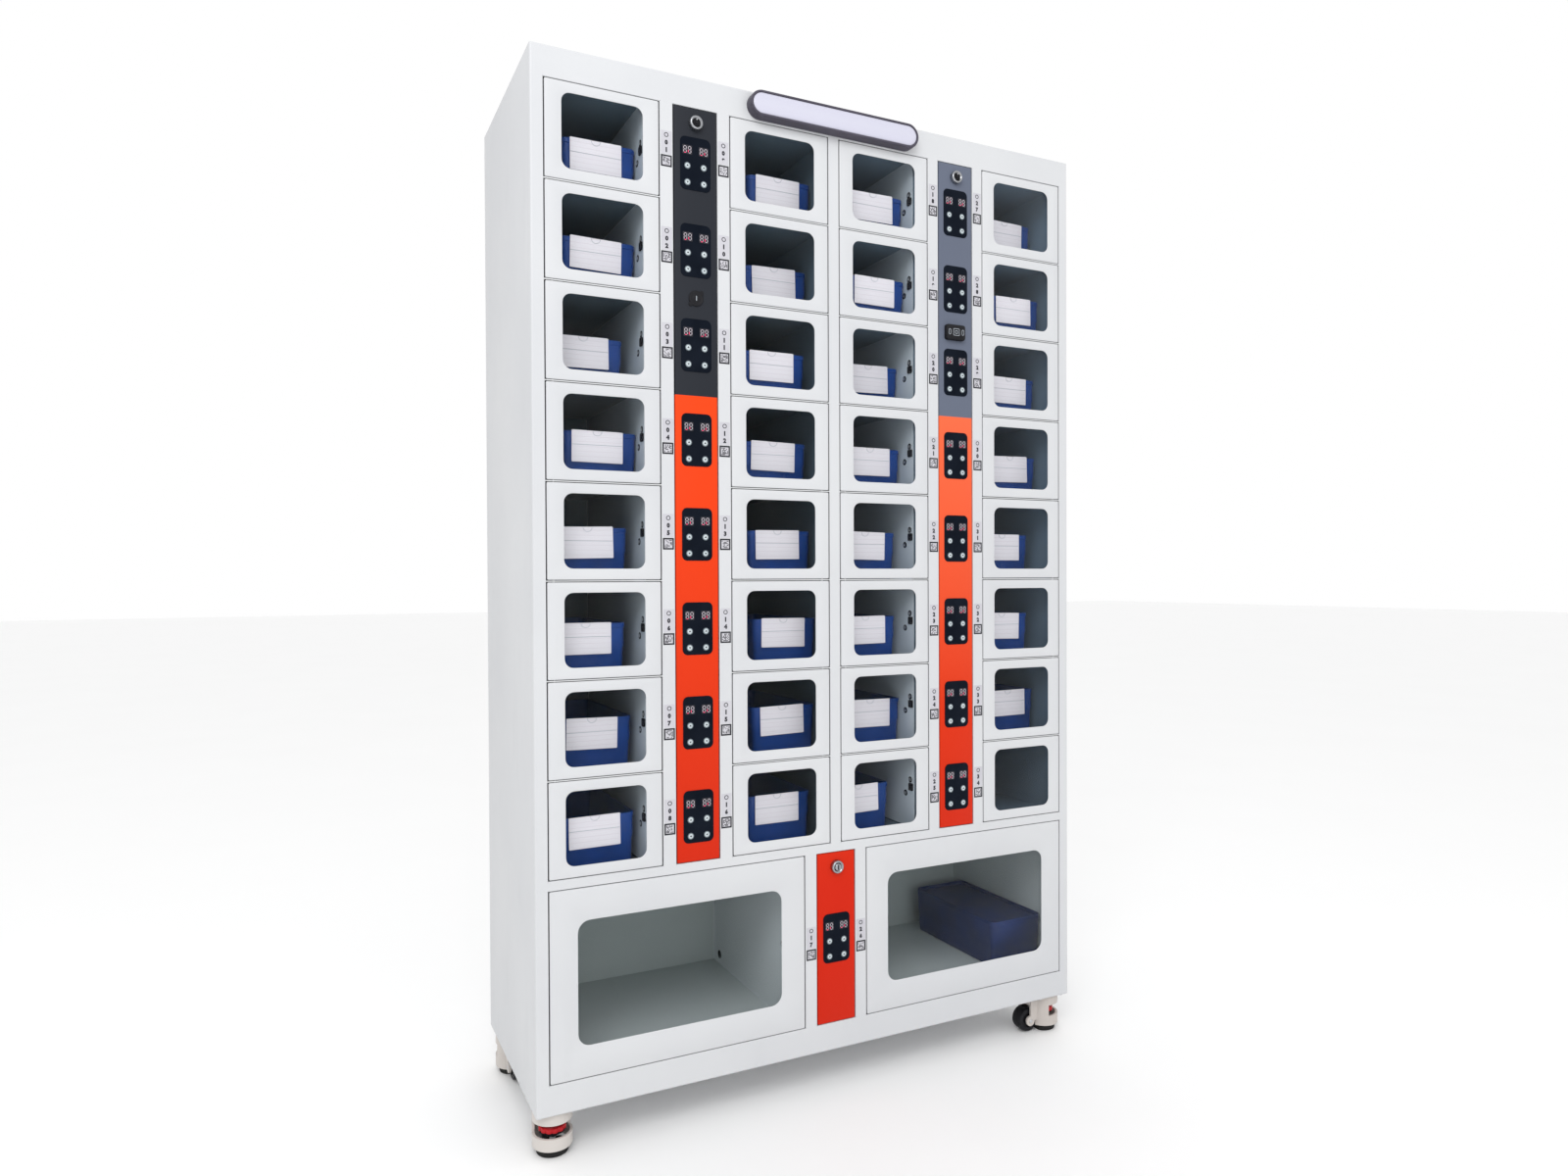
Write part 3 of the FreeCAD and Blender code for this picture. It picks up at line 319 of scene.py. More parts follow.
def interior_paint():
    """Blue-grey paint inside the compartments, paler in the low ones, with the white coat on the
    shelves' front edges. Painted shade darkens it towards the back and in the lower small
    compartments; painted light makes the lock walls facing the light paler and lays a near-white
    band on the front of the lowest floors."""
    f = Finish("interior_paint", Specular_IOR_Level=0.2)
    cloud = f.noise(6, 4)
    dust = f.span(f.noise(55, 6), 0.62, 0.75, 0, 1)
    # painted shade: darker towards the back of each compartment
    depth_shade = f.span(f.y, (FRONT + 20) * MM, (FRONT + 400) * MM, 0, 1)
    cool = f.between(depth_shade, (0.15, 0.21, 0.26), (0.035, 0.090, 0.140))
    pale = f.between(depth_shade, (0.24, 0.33, 0.43), (0.12, 0.19, 0.27))
    small = f.between(f.span(f.x, -0.2, 0.45, 0, 1), cool, pale)
    # painted shade: the small compartments darken towards near-black lower down, less in the right-hand
    # columns
    shade = f.span(f.z, 0.55, 1.75, 0.70, 0.0) - f.span(f.x, -0.2, 0.45, 0, 0.35)
    small = f.between(shade, small, (0.012, 0.014, 0.020))
    large = f.between(depth_shade, (0.74, 0.76, 0.75), (0.58, 0.62, 0.60))
    large_top = 0.495
    grey = f.between(f.z < large_top, small, large)
    # painted light: the lock walls of the first and third columns, which face the light, paler near the front
    wall = (f.x.near(-0.3902, 0.0016) + f.x.near(0.1983, 0.0016)) * (f.z > 0.50)
    grey = f.between(wall * (1 - depth_shade * 0.7), grey, (0.72, 0.76, 0.80))
    # painted light: a near-white band over the front of the compartments below 146 mm, where light falls in
    lit_floor_band = (f.z < 0.1462) * f.span(f.y, (FRONT + 48) * MM, (FRONT + 60) * MM, 1, 0)
    grey = f.between(lit_floor_band * 0.9, grey, (0.93, 0.93, 0.93))
    # painted light: the large left compartment's lock wall, which faces the light, paler
    beside = (f.z < large_top) * f.x.near(-0.0966, 0.0016)
    grey = f.between(beside * 0.6, grey, (0.86, 0.88, 0.90))
    grey = f.between(cloud * 0.15, grey, (0.16, 0.17, 0.18))
    grey = f.between(dust * 0.12, grey, (0.45, 0.45, 0.44))
    face = f.y < (FRONT + 17) * MM
    return f.feed(Base_Color=f.between(face, grey, (0.66, 0.67, 0.68)),
                  Roughness=f.span(cloud, 0.3, 0.7, 0.42, 0.58),
                  Normal=f.bump(f.noise(700, 2), 0.12, 0.0002))


def strip_paint(boundary, painted_sheen):
    """Satin coat on a control strip: charcoal above the boundary height and orange-red below it,
    darker towards the foot as painted shade. With painted sheen the strip is paler, most of all near
    its top, a painted reflection."""
    f = Finish("painted_sheen_strip_coat" if painted_sheen else "strip_coat_" + str(round(boundary)), Specular_IOR_Level=0.12)
    cloud = f.noise(4, 3)
    # painted shade: the orange darker towards the foot
    depth = f.span(f.z, 0.4, 1.35, 0, 1)
    warm = f.between(depth, (0.56, 0.015, 0.002), (0.80, 0.055, 0.005))
    warm = f.between(cloud * 0.15, warm, (0.55, 0.03, 0.008))
    dark = f.between(cloud, (0.017, 0.019, 0.025), (0.022, 0.025, 0.032))
    # painted reflection: a paler charcoal, and an orange paler near the top, stand for a sheen on the strip
    if painted_sheen:
        dark = f.between(cloud, (0.105, 0.120, 0.165), (0.125, 0.145, 0.195))
        warm = f.between(f.span(f.z, 0.75, 1.40, 0, 0.75), warm, (0.80, 0.16, 0.07))
    upper = f.z > boundary * MM
    return f.feed(Base_Color=f.between(upper, warm, dark),
                  Roughness=f.span(cloud, 0.3, 0.7, 0.36, 0.46),
                  Normal=f.bump(f.noise(900, 2), 0.10, 0.0002))


def plastic(name, colour, shade, rough=0.4, grain=500, depth=0.0002, strength=0.15, **uniform):
    """Moulded plastic: fine grain, a slow change of tone and small changes of gloss."""
    f = Finish(name, **{"Specular_IOR_Level": 0.25, **uniform})
    cloud = f.noise(18, 4)
    return f.feed(Base_Color=f.between(f.span(cloud, 0.3, 0.7, 0, 1), colour, shade),
                  Roughness=f.span(cloud, 0.3, 0.7, rough - 0.06, rough + 0.08),
                  Normal=f.bump(f.noise(grain, 3), strength, depth))


def metal(name, colour, rough=0.2, streak=(1, 1, 30)):
    """Plated or polished metal: directional fine streaks and a slight dulling in patches."""
    f = Finish(name, Metallic=1.0)
    cloud = f.noise(40, 4)
    lines = f.stretched(streak, 300, 2)
    return f.feed(Base_Color=f.between(cloud * 0.4, colour, tuple(c * 0.75 for c in colour)),
                  Roughness=f.span(cloud, 0.3, 0.7, rough - 0.05, rough + 0.12),
                  Normal=f.bump(lines, 0.08, 0.0001))


def window_pane():
    """A clear acrylic pane: see-through with a pale tint, mirroring more at a glancing angle."""
    f = Finish("clear_pane")
    clear = f.node("ShaderNodeBsdfTransparent", {}, {"Color": (0.93, 0.95, 0.96, 1)})
    gloss = f.node("ShaderNodeBsdfGlossy", {}, {"Color": (1, 1, 1, 1), "Roughness": 0.03})
    share = f.node("ShaderNodeFresnel", {}, {"IOR": 1.40})
    smear = f.span(f.noise(9, 4), 0.45, 0.75, 0, 0.004)
    mixed = f.node("ShaderNodeMixShader", {}, {0: share * 0.14 + smear, 1: clear, 2: gloss}, output=None)
    output = f.tree.nodes["Material Output"]
    f.tree.links.new(mixed.outputs[0], output.inputs["Surface"])
    f.tree.nodes.remove(f.shader)
    return f.material


def ruled_card():
    """A pinkish paper card behind clear film, with fine printed lines across it. It glows faintly in
    its own colour, a painted light.
    """
    # painted light: a faint glow in the paper's colour
    f = Finish("ruled_card", Coat_Roughness=0.1, Emission_Strength=0.07)
    fibre = f.noise(350, 4)
    line = f.z.wrap(0.0045) < 0.00035
    paper = f.between(fibre, (0.84, 0.74, 0.77), (0.93, 0.86, 0.88))
    printed = f.between(line * 0.35, paper, (0.60, 0.46, 0.50))
    return f.feed(Base_Color=printed, Emission_Color=printed,
                  Roughness=f.span(fibre, 0.3, 0.7, 0.28, 0.5),
                  Coat_Weight=f.span(f.noise(12, 2), 0.3, 0.7, 0.2, 0.6))


def lit_lens():
    """The header lamp's diffuser: lavender-white, faintly brighter along its middle."""
    f = Finish("lamp_lens", Roughness=0.35, Emission_Strength=0.05)
    height = (f.z - LAMP_Z * MM).absolute()
    glow = f.span(height, 0.0, 0.022, 1, 0.75)
    tone = f.between(glow, (0.44, 0.43, 0.55), (0.53, 0.53, 0.62))
    return f.feed(Base_Color=f.between(f.noise(25, 3) * 0.2, tone, (0.51, 0.50, 0.60)),
                  Emission_Color=tone, Normal=f.bump(f.noise(900, 2), 0.05, 0.0001))


LAMP_LOW, LAMP_HIGH = limits("header_lamp")
LAMP_Z = (LAMP_LOW[2] + LAMP_HIGH[2]) / 2

WHITE = powder("white_coat", (0.595, 0.605, 0.62), (0.56, 0.57, 0.59))
# painted shade in the door gaps: the face sheet's and leaves' returns darken behind the face
GAP_SHADED_WHITE = powder("gap_shaded_white_coat", (0.595, 0.605, 0.62), (0.56, 0.57, 0.59), folded=True)
INTERIOR = interior_paint()
BLUE = plastic("blue_tub", (0.008, 0.045, 0.21), (0.012, 0.062, 0.29), rough=0.36)
NAVY = plastic("navy_tub", (0.007, 0.018, 0.085), (0.012, 0.034, 0.15), rough=0.42)
BLACK = plastic("black_moulding", (0.008, 0.008, 0.010), (0.014, 0.014, 0.017), rough=0.45,
                Specular_IOR_Level=0.15)
PANEL = plastic("panel_film", (0.004, 0.006, 0.011), (0.007, 0.010, 0.017), rough=0.22, grain=1200,
                strength=0.04, Specular_IOR_Level=0.03)
BUTTON = plastic("button_cap", (0.44, 0.50, 0.53), (0.54, 0.60, 0.62), rough=0.3, grain=900, strength=0.05)
# painted shade: the dark collar round each pale cap stands for the shaded rim of a silver domed button
BUTTON_RIM_SHADE = plastic("button_rim_shade", (0.10, 0.13, 0.15), (0.16, 0.19, 0.21), rough=0.3)
GREY_PRINT = plastic("grey_print", (0.30, 0.33, 0.37), (0.36, 0.39, 0.42), rough=0.5)
DIGIT_OFF = plastic("digit_unlit", (0.42, 0.38, 0.42), (0.50, 0.45, 0.50), rough=0.4)
DIGIT_ON = plastic("digit_lit", (0.70, 0.05, 0.14), (0.80, 0.08, 0.18), rough=0.4,
                   Emission_Color=(1.0, 0.06, 0.20, 1), Emission_Strength=0.35)
STICKER = plastic("sticker", (0.49, 0.485, 0.525), (0.53, 0.525, 0.56), rough=0.42, grain=800)
PRINT = plastic("dark_print", (0.012, 0.012, 0.018), (0.022, 0.022, 0.028), rough=0.5)
CHROME = metal("chrome_plate", (0.36, 0.37, 0.39), rough=0.24)
ZINC = metal("zinc_plate", (0.60, 0.61, 0.63), rough=0.34)
CREAM = powder("cast_cream", (0.58, 0.545, 0.515), (0.50, 0.46, 0.43), rough=0.38, soft_edges=True)
BLACK_PAINT = powder("black_coat", (0.014, 0.014, 0.016), (0.022, 0.022, 0.024), rough=0.4)
RUBBER = plastic("rubber", (0.012, 0.012, 0.012), (0.022, 0.021, 0.020), rough=0.7, grain=260, depth=0.0005,
                 strength=0.4)
RED = plastic("red_nylon", (0.42, 0.008, 0.014), (0.52, 0.014, 0.020), rough=0.34)
LAMP_BODY = plastic("lamp_body", (0.055, 0.050, 0.070), (0.075, 0.068, 0.092), rough=0.4)
BOARD = powder("board_cover", (0.26, 0.27, 0.29), (0.21, 0.22, 0.24), rough=0.45)
PANE = window_pane()
CARD = ruled_card()
LENS = lit_lens()


def dress(node, *finishes):
    """Gives a CAD node its finish in place."""
    slots = frame["nodes"][node].data.materials
    slots.clear()
    for finish in finishes:
        slots.append(finish)


dress("compartment_walls", INTERIOR)
dress("control_electronics", BOARD)

# ---------------------------------------------------------------- doors
LEAF_DEPTH = 16
SMALL = {"window": (149, 133), "radius": 16, "drop": 18.5}
LARGE = {"window": (402.7, 224.2), "radius": 22, "drop": 58.4}


def leaf_shell(low, high, facts):
    """A folded leaf with its window, as a ring: at each step of the outline the section goes from
    the rear of the outer return, round the front edge, over the face, through the window's edge
    and back behind the sheet."""
    width, height = high[0] - low[0], high[2] - low[2]
    middle = np.array([(low[0] + high[0]) / 2, FRONT, (low[2] + high[2]) / 2])
    opening = facts["window"]
    shift = height / 2 - facts["drop"] - opening[1] / 2
    window_middle = middle + np.array([0, 0, shift])
    outer = [(LEAF_DEPTH, 0), (1.4, 0), (0.65, 0.2), (0.2, 0.65), (0, 1.4)]
    inner = [(0, -0.5), (0.15, -0.15), (0.5, 0), (SHEET, 0)]
    back = [(SHEET, SHEET), (LEAF_DEPTH, SHEET)]
    return np.concatenate([
        slab(middle, (width, height), 2.5, outer),
        slab(window_middle, opening, facts["radius"], inner),
        slab(middle, (width, height), 2.5, back),
    ]), window_middle


for name in DOORS:
    low, high = limits(name)
    number = int(name[5:])
    facts = LARGE if number in (17, 26) else SMALL
    shell, window_middle = leaf_shell(low, high, facts)
    pivot = pivot_of(name + "_hinge")
    leaf = Piece("leaf_" + name[5:], name, name, slot="door_coat_glass")
    leaf.skin(shell, GAP_SHADED_WHITE, ring=True)
    striker_x = low[0] + 12 if hinged_right(name) else high[0] - 12
    middle_z = (low[2] + high[2]) / 2
    leaf.skin(block((striker_x - 1, FRONT + SHEET, middle_z - 8),
                    (striker_x + 1, FRONT + 34, middle_z + 8), 0.3), ZINC)
    for z, way in ((low[2], 1), (high[2], -1)):
        collar = np.array([(SHEET, 2.1), (SHEET, 4), (2.4, 4), (2.7, 3.7), (2.7, 2.1)])
        leaf.skin(turned(collar, (pivot[0], pivot[1], z), (0, 0, way), 16), ZINC, ring=True)
    leaf.build()
    size = np.array(facts["window"]) + 16
    pane = Piece("pane_" + name[5:], name)
    pane.skin(slab(window_middle, size, 4, [(1.3, 0.3), (1.6, 0), (3.9, 0), (4.2, 0.3)], corner=2), PANE)
    pane.build()

# ---------------------------------------------------------------- cabinet face and casing
LEVEL, SIDE = 1.4, 2.2                       # gaps above and beside each leaf


def hole_round(nodes):
    """The opening in the face round some nodes: x from, x to, z from, z to."""
    boxes = [limits(node) for node in nodes]
    low = np.min([b[0] for b in boxes], axis=0)
    high = np.max([b[1] for b in boxes], axis=0)
    return low[0] - SIDE, high[0] + SIDE, low[2] - LEVEL, high[2] + LEVEL


HOLES = [hole_round([f"door_{start + row:02d}" for row in range(ROWS)]) for start in COLUMN_START]
HOLES += [hole_round([f"control_strip_{side}"]) for side in STRIPS]
HOLES += [hole_round([name]) for name in ("door_17", "door_26")]
FOLD = 3.5                                   # bend radius of the outer edges
EASE = 0.9                                   # rounding of each opening's edge


def face_sheet():
    """The face as a grid of flat cells between the openings' edges, leaving out the cells that lie
    in an opening; its rim meets the outer fold and each opening's rounded edge."""
    piece = Piece("face_sheet", "cabinet", "front_frame", slot="white_powder_coat")
    edges_x = sorted({BODY_LOW[0] + FOLD, BODY_HIGH[0] - FOLD,
                      *(round(v, 3) for h in HOLES for v in (h[0] - EASE, h[1] + EASE))})
    edges_z = sorted({BODY_LOW[2] + FOLD, BODY_HIGH[2] - FOLD,
                      *(round(v, 3) for h in HOLES for v in (h[2] - EASE, h[3] + EASE))})
    x, z = np.array(edges_x), np.array(edges_z)
    middle_x, middle_z = (x[1:] + x[:-1]) / 2, (z[1:] + z[:-1]) / 2
    solid = np.ones((len(middle_x), len(middle_z)), bool)
    for x0, x1, z0, z1 in HOLES:
        solid &= ~(((middle_x > x0 - EASE) & (middle_x < x1 + EASE))[:, None]
                   & ((middle_z > z0 - EASE) & (middle_z < z1 + EASE))[None, :])
    grid = np.stack(np.broadcast_arrays(x[:, None], z[None, :]), -1).reshape(-1, 2)
    count = len(grid)
    points = np.concatenate([lift(grid, FRONT), lift(grid, FRONT + SHEET)])
    i, j = np.nonzero(solid)
    corner = i * len(z) + j
    front = np.stack([corner, corner + len(z), corner + len(z) + 1, corner + 1], 1)
    faces = front.tolist() + (front[:, ::-1] + count).tolist()
    padded = np.pad(solid, 1)
    row = len(z)
    for di, dj, a, b in ((1, 0, row, row + 1), (-1, 0, 0, 1), (0, 1, 1, row + 1), (0, -1, 0, row)):
        beside = padded[1 + di:padded.shape[0] - 1 + di, 1 + dj:padded.shape[1] - 1 + dj]
        open_side = solid & ~beside
        i, j = np.nonzero(open_side)
        corner = i * len(z) + j
        faces += np.stack([corner + a, corner + b, corner + b + count, corner + a + count], 1).tolist()
    piece.raw(points, faces, GAP_SHADED_WHITE)
    turn = np.radians(np.linspace(0, 90, 4))
    rim = [(EASE * (1 - math.cos(t)), -EASE * (1 - math.sin(t))) for t in turn]
    for x0, x1, z0, z1 in HOLES:
        section = [*rim, (17.9, 0), (17.9, -SHEET), (SHEET, -SHEET - 0.3)]
        piece.skin(slab(((x0 + x1) / 2, FRONT, (z0 + z1) / 2), (x1 - x0, z1 - z0), 0.4, section,
                        corner=1), GAP_SHADED_WHITE, ring=True)
    return piece.build(40)


def casing_shell():
    """Sides, top and base as one wrapped sheet: a ring whose section starts on the face, turns
    through the front fold as a quarter circle, runs to the back and returns inside."""
    turn = np.radians(np.linspace(0, 90, 7))
    fold = [(FOLD * (1 - math.cos(t)), FOLD * (1 - math.sin(t))) for t in turn]
    depth = BODY_HIGH[1] - FRONT
    section = [*fold, (depth - 1.2, 0), (depth - 0.4, 0.3), (depth, 1.0), (depth, SHEET + 0.8),
               (FOLD + 1, SHEET), (SHEET, FOLD + 0.6)]
    middle = (BODY_MIDDLE[0], FRONT, BODY_MIDDLE[2])
    size = (BODY_HIGH[0] - BODY_LOW[0] - 0.06, BODY_HIGH[2] - BODY_LOW[2])
    piece = Piece("casing_shell", "cabinet", "casing_panels", slot="white_powder_coat")
    piece.skin(slab(middle, size, 1.5, section, corner=3), WHITE, ring=True)
    head = [(-1.0, 3.4), (-0.05, 3.2), (0, 1.7), (-0.7, 1.5), (-0.7, 0)]
    for side in (-1, 1):
        edge = middle[0] + side * (size[0] / 2 + 0.02)
        spots = [(edge, FRONT + behind, BODY_LOW[2] + 7.5) for behind in (134, 350)]
        piece.copies(turned(head, (0, 0, 0), (side, 0, 0), 14), spots, BOARD)
    return piece.build(40)


def back_panel():
    """The back sheet, set just inside the casing, with its fixing screws."""
    piece = Piece("back_panel", "cabinet", slot="white_powder_coat")
    middle = (BODY_MIDDLE[0], 0, BODY_MIDDLE[2])
    size = (BODY_HIGH[0] - BODY_LOW[0] - 4, BODY_HIGH[2] - BODY_LOW[2] - 4)
    back = BODY_HIGH[1]
    section = [(back - 1.5, 0), (back - 0.6, 0), (back - 0.35, 0.4)]
    piece.skin(slab(middle, size, 1.5, section, corner=2), WHITE)
    head = [(0, 4.2), (0.35, 4.0), (0.5, 1.6), (0.2, 1.5), (0.2, 0)]
    screw = turned(head, (0, 0, 0), count=12) * (1, 0.6, 1)
    spots = [(x, back - 0.35, z) for x in (BODY_LOW[0] + 14, 0, BODY_HIGH[0] - 14)
             for z in np.linspace(BODY_LOW[2] + 20, BODY_HIGH[2] - 20, 6)]
    piece.copies(screw, spots, ZINC)
    return piece.build()


face_sheet()
casing_shell()
back_panel()


def caster_plates():
    """The four fixing plates under the base with a domed bolt head at each corner."""
    piece = Piece("caster_plates", "cabinet", "base_chassis", slot="dark_steel")
    bolt = turned([(0, 5), (-2.2, 5), (-3.2, 3.6), (-3.5, 1.8), (-2.6, 1.7), (-2.6, 0)], (0, 0, 0),
                  (0, 0, 1), 12)
    under = BODY_LOW[2] - 3
    for corner in CORNERS:
        centre = pivot_of(f"caster_{corner}_swivel")
        piece.skin(slab((centre[0], centre[1], 0), (73, 73), 5,
                        [(under, 0.4), (under + 0.4, 0), (under + 3, 0)], "xy", 4), BLACK_PAINT)
        spots = [(centre[0] + i * 29.5, centre[1] + j * 29.5, under) for i in (-1, 1) for j in (-1, 1)]
        piece.copies(bolt, spots, ZINC)
    return piece.build()


caster_plates()

# ---------------------------------------------------------------- control strips
SEGMENTS = {                                  # centre x, centre z, half width, half height
    "top": (0, 6.0, 1.9, 0.62), "middle": (0, 0, 1.9, 0.62), "low": (0, -6.0, 1.9, 0.62),
    "upper_left": (-2.6, 3.0, 0.62, 2.2), "upper_right": (2.6, 3.0, 0.62, 2.2),
    "lower_left": (-2.6, -3.0, 0.62, 2.2), "lower_right": (2.6, -3.0, 0.62, 2.2),
}


def wedge(points, thickness):
    """Layers of a flat outline in the XZ plane, as thick as told, growing towards the front."""
    flat = np.asarray(points, float)
    return np.array([lift(flat, 0), lift(flat, -thickness)])


def control_panel(piece, centre_x, top):
    """A black film panel with two two-digit displays and four domed push buttons."""
    middle = (centre_x, FRONT, top - 49)
    piece.skin(slab(middle, (60, 98), 10, [(0, 0), (-0.8, 0), (-1.1, 0.25), (-1.2, 0.7)], corner=6), PANEL)
    collar = turned([(0, 6.2), (-0.6, 6.2), (-0.8, 5.6), (-0.8, 0)], (0, 0, 0), count=14)
    cap = turned([(-0.7, 4.7), (-1.1, 4.4), (-1.4, 2.8)], (0, 0, 0), count=14)
    arrow_up = np.array([(-2.3, -1.2), (2.3, -1.2), (0, 2.0)])
    for side in (-1, 1):
        x = centre_x + side * 16.2
        screen = (x, FRONT - 1.2, top - 24.5)
        piece.skin(slab(screen, (19, 17), 0.8, [(0, 0), (-0.15, 0), (-0.25, 0.2)], corner=1), PRINT)
        for digit in (-1, 1):
            for key, (sx, sz, half_x, half_z) in SEGMENTS.items():
                lit = key == ("low" if digit < 0 else "lower_left")
                block = slab((x + digit * 4.5 + sx, FRONT - 1.45, top - 24.5 + sz),
                             (2 * half_x, 2 * half_z), 0.3, [(0, 0), (-0.12, 0)], corner=1)
                piece.skin(block, DIGIT_ON if lit else DIGIT_OFF)
        for row, z in enumerate((top - 54, top - 84.5)):
            # painted shade: the dark collar for the dome's shaded rim
            piece.skin(collar + (x, FRONT - 1.2, z), BUTTON_RIM_SHADE)
            piece.skin(cap + (x, FRONT - 1.2, z), BUTTON)
            arrow = arrow_up * (1, 1 if row == 0 else -1)
            piece.skin(wedge(arrow, 0.12) + (x, FRONT - 2.6, z), PRINT)


def strip_pieces(side):
    """A service strip: a folded pan with soft edges, its panels, and the key override on the left
    one or the card reader on the right one."""
    node = "control_strip_" + side
    low, high = limits(node)
    middle = (low + high) / 2
    middle[1] = FRONT
    width, height = high[0] - low[0], high[2] - low[2]
    # the right strip carries a painted sheen, a painted reflection
    finish = strip_paint(high[2] - 532.6 if side != "centre" else 5000, side == "right")
    pan = Piece("strip_" + side, node, node, slot="control_strip")
    pan.skin(slab(middle, (width, height), 1.5,
                  [(SHEET, SHEET), (16, SHEET), (16, 0), (1.0, 0), (0.3, 0.3), (0, 1.0)], corner=3), finish)
    pan.build()
    details = Piece(f"strip_{side}_panels", node)
    x = middle[0]
    if side == "centre":
        tops = [high[2] - 121.9]
    else:
        tops = [high[2] - 38.65 - row * ROW_PITCH - (15 if row == 0 else 0) for row in range(ROWS)]
    for top in tops:
        control_panel(details, x, top)
    if side == "left":
        centre = (x, FRONT, high[2] - 351.6)
        details.skin(turned([(0, 14.5), (-1.6, 14.5), (-2.4, 13.8), (-2.6, 12.2), (-2.2, 11.4), (-2.2, 7),
                             (-2.9, 6), (-2.9, 0)], centre, count=36), BLACK)
        for angle in (45, 225):
            t = math.radians(angle)
            spot = (x + 15.5 * math.cos(t), FRONT, centre[2] + 15.5 * math.sin(t))
            details.skin(turned([(0, 4), (-1.6, 4), (-2.1, 3.3), (-2.1, 0)], spot, count=14), BLACK)
        keyway = slab((x, FRONT - 2.9, centre[2]), (1.6, 9), 0.6, [(0, 0), (-0.1, 0)], corner=2)
        details.skin(keyway, GREY_PRINT)
    if side == "right":
        centre = (x - 4.6, FRONT, high[2] - 355.6)
        details.skin(slab(centre, (47.5, 32), 5, [(0, 0), (-7.5, 0), (-9.2, 0.6), (-10, 2)], corner=4), BLACK)
        outline = [(-9.9, 0), (-10.2, 0), (-10.2, 1.1), (-9.9, 1.1)]
        for dx, size, radius, corner in ((0, (16, 15), 2, 3), (0, (7, 7), 1, 2), (-16.5, (6, 12), 2.9, 3),
                                         (16.5, (6, 12), 2.9, 3)):
            mark = slab((centre[0] + dx, FRONT, centre[2]), size, radius, outline, corner=corner)
            details.skin(mark, GREY_PRINT, ring=True)
    details.build()


for side in STRIPS:
    strip_pieces(side)


def lock_pieces(side):
    """A cam lock: a chromed barrel on the strip and, riding on the plug, its keyway and cam."""
    strip, plug = "control_strip_" + side, "lock_plug_" + side
    centre = pivot_of(plug + "_turn")
    barrel = Piece(f"lock_{side}_barrel", strip)
    barrel.skin(turned([(0, 13.25), (-7.2, 13.1), (-9.0, 12.4), (-10, 11.2), (-10, 9.6), (-8.2, 7.6),
                        (19, 7.3), (19, 9.5), (1.2, 9.5)], centre, count=40), CHROME, ring=True)
    barrel.skin(turned([(2.4, 9.6), (2.4, 13), (5.4, 13), (5.4, 9.6)], centre, count=6), ZINC, ring=True)
    barrel.build(40)
    core = Piece(f"lock_{side}_plug", plug, plug, slot="lock_chrome")
    if side == "centre":
        face = [(19.4, 6.9), (-9.2, 6.9), (-9.9, 6.3), (-10.1, 5.6), (-10.1, 0)]
        core.skin(turned(face, centre, count=32), CHROME)
        core.skin(slab(centre, (2.8, 10.4), 1.0, [(-10.12, 0), (-10.28, 0)], corner=2), PRINT)
    else:
        core.skin(turned([(19.4, 6.9), (-9.0, 6.9), (-9.6, 6.2), (-8.2, 5.9), (-8.2, 3.2), (-9.8, 3.0),
                          (-9.8, 0)], centre, count=32), BLACK)
        core.skin(slab(centre + (0, 0, 5.2), (2.2, 2.4), 0.4, [(-9.65, 0), (-9.8, 0)], corner=1), ZINC)
    core.skin(slab(centre + (0, 0, -24.25), (11, 59.5), 4, [(19.5, 0), (21.5, 0)], corner=4), ZINC)
    core.skin(turned([(21.5, 4.2), (23.5, 4.2), (23.8, 3.6), (23.8, 0)], centre, count=6), ZINC)
    core.build(40)


for side in STRIPS:
    lock_pieces(side)

# ---------------------------------------------------------------- stickers beside the strips


def glyph(character, height):
    """A character as points and faces in the XZ plane, centred, thick enough to be closed."""
    curve = bpy.data.curves.new("glyph", "FONT")
    curve.body, curve.size, curve.extrude, curve.resolution_u, curve.offset = character, 1.0, 0.01, 2, 0.07
    item = bpy.data.objects.new("glyph", curve)
    bpy.context.scene.collection.objects.link(item)
    bpy.context.view_layer.update()
    made = item.evaluated_get(bpy.context.evaluated_depsgraph_get()).to_mesh()
    flat = np.zeros(len(made.vertices) * 3)
    made.vertices.foreach_get("co", flat)
    flat = flat.reshape(-1, 3)
    faces = [list(face.vertices) for face in made.polygons]
    bpy.data.objects.remove(item)
    size = flat[:, :2].max(0) - flat[:, :2].min(0)
    flat[:, :2] -= (flat[:, :2].max(0) + flat[:, :2].min(0)) / 2
    scale = height / size[1]
    return np.stack([flat[:, 0] * scale, -np.sign(flat[:, 2]) * 0.03, flat[:, 1] * scale], 1), faces


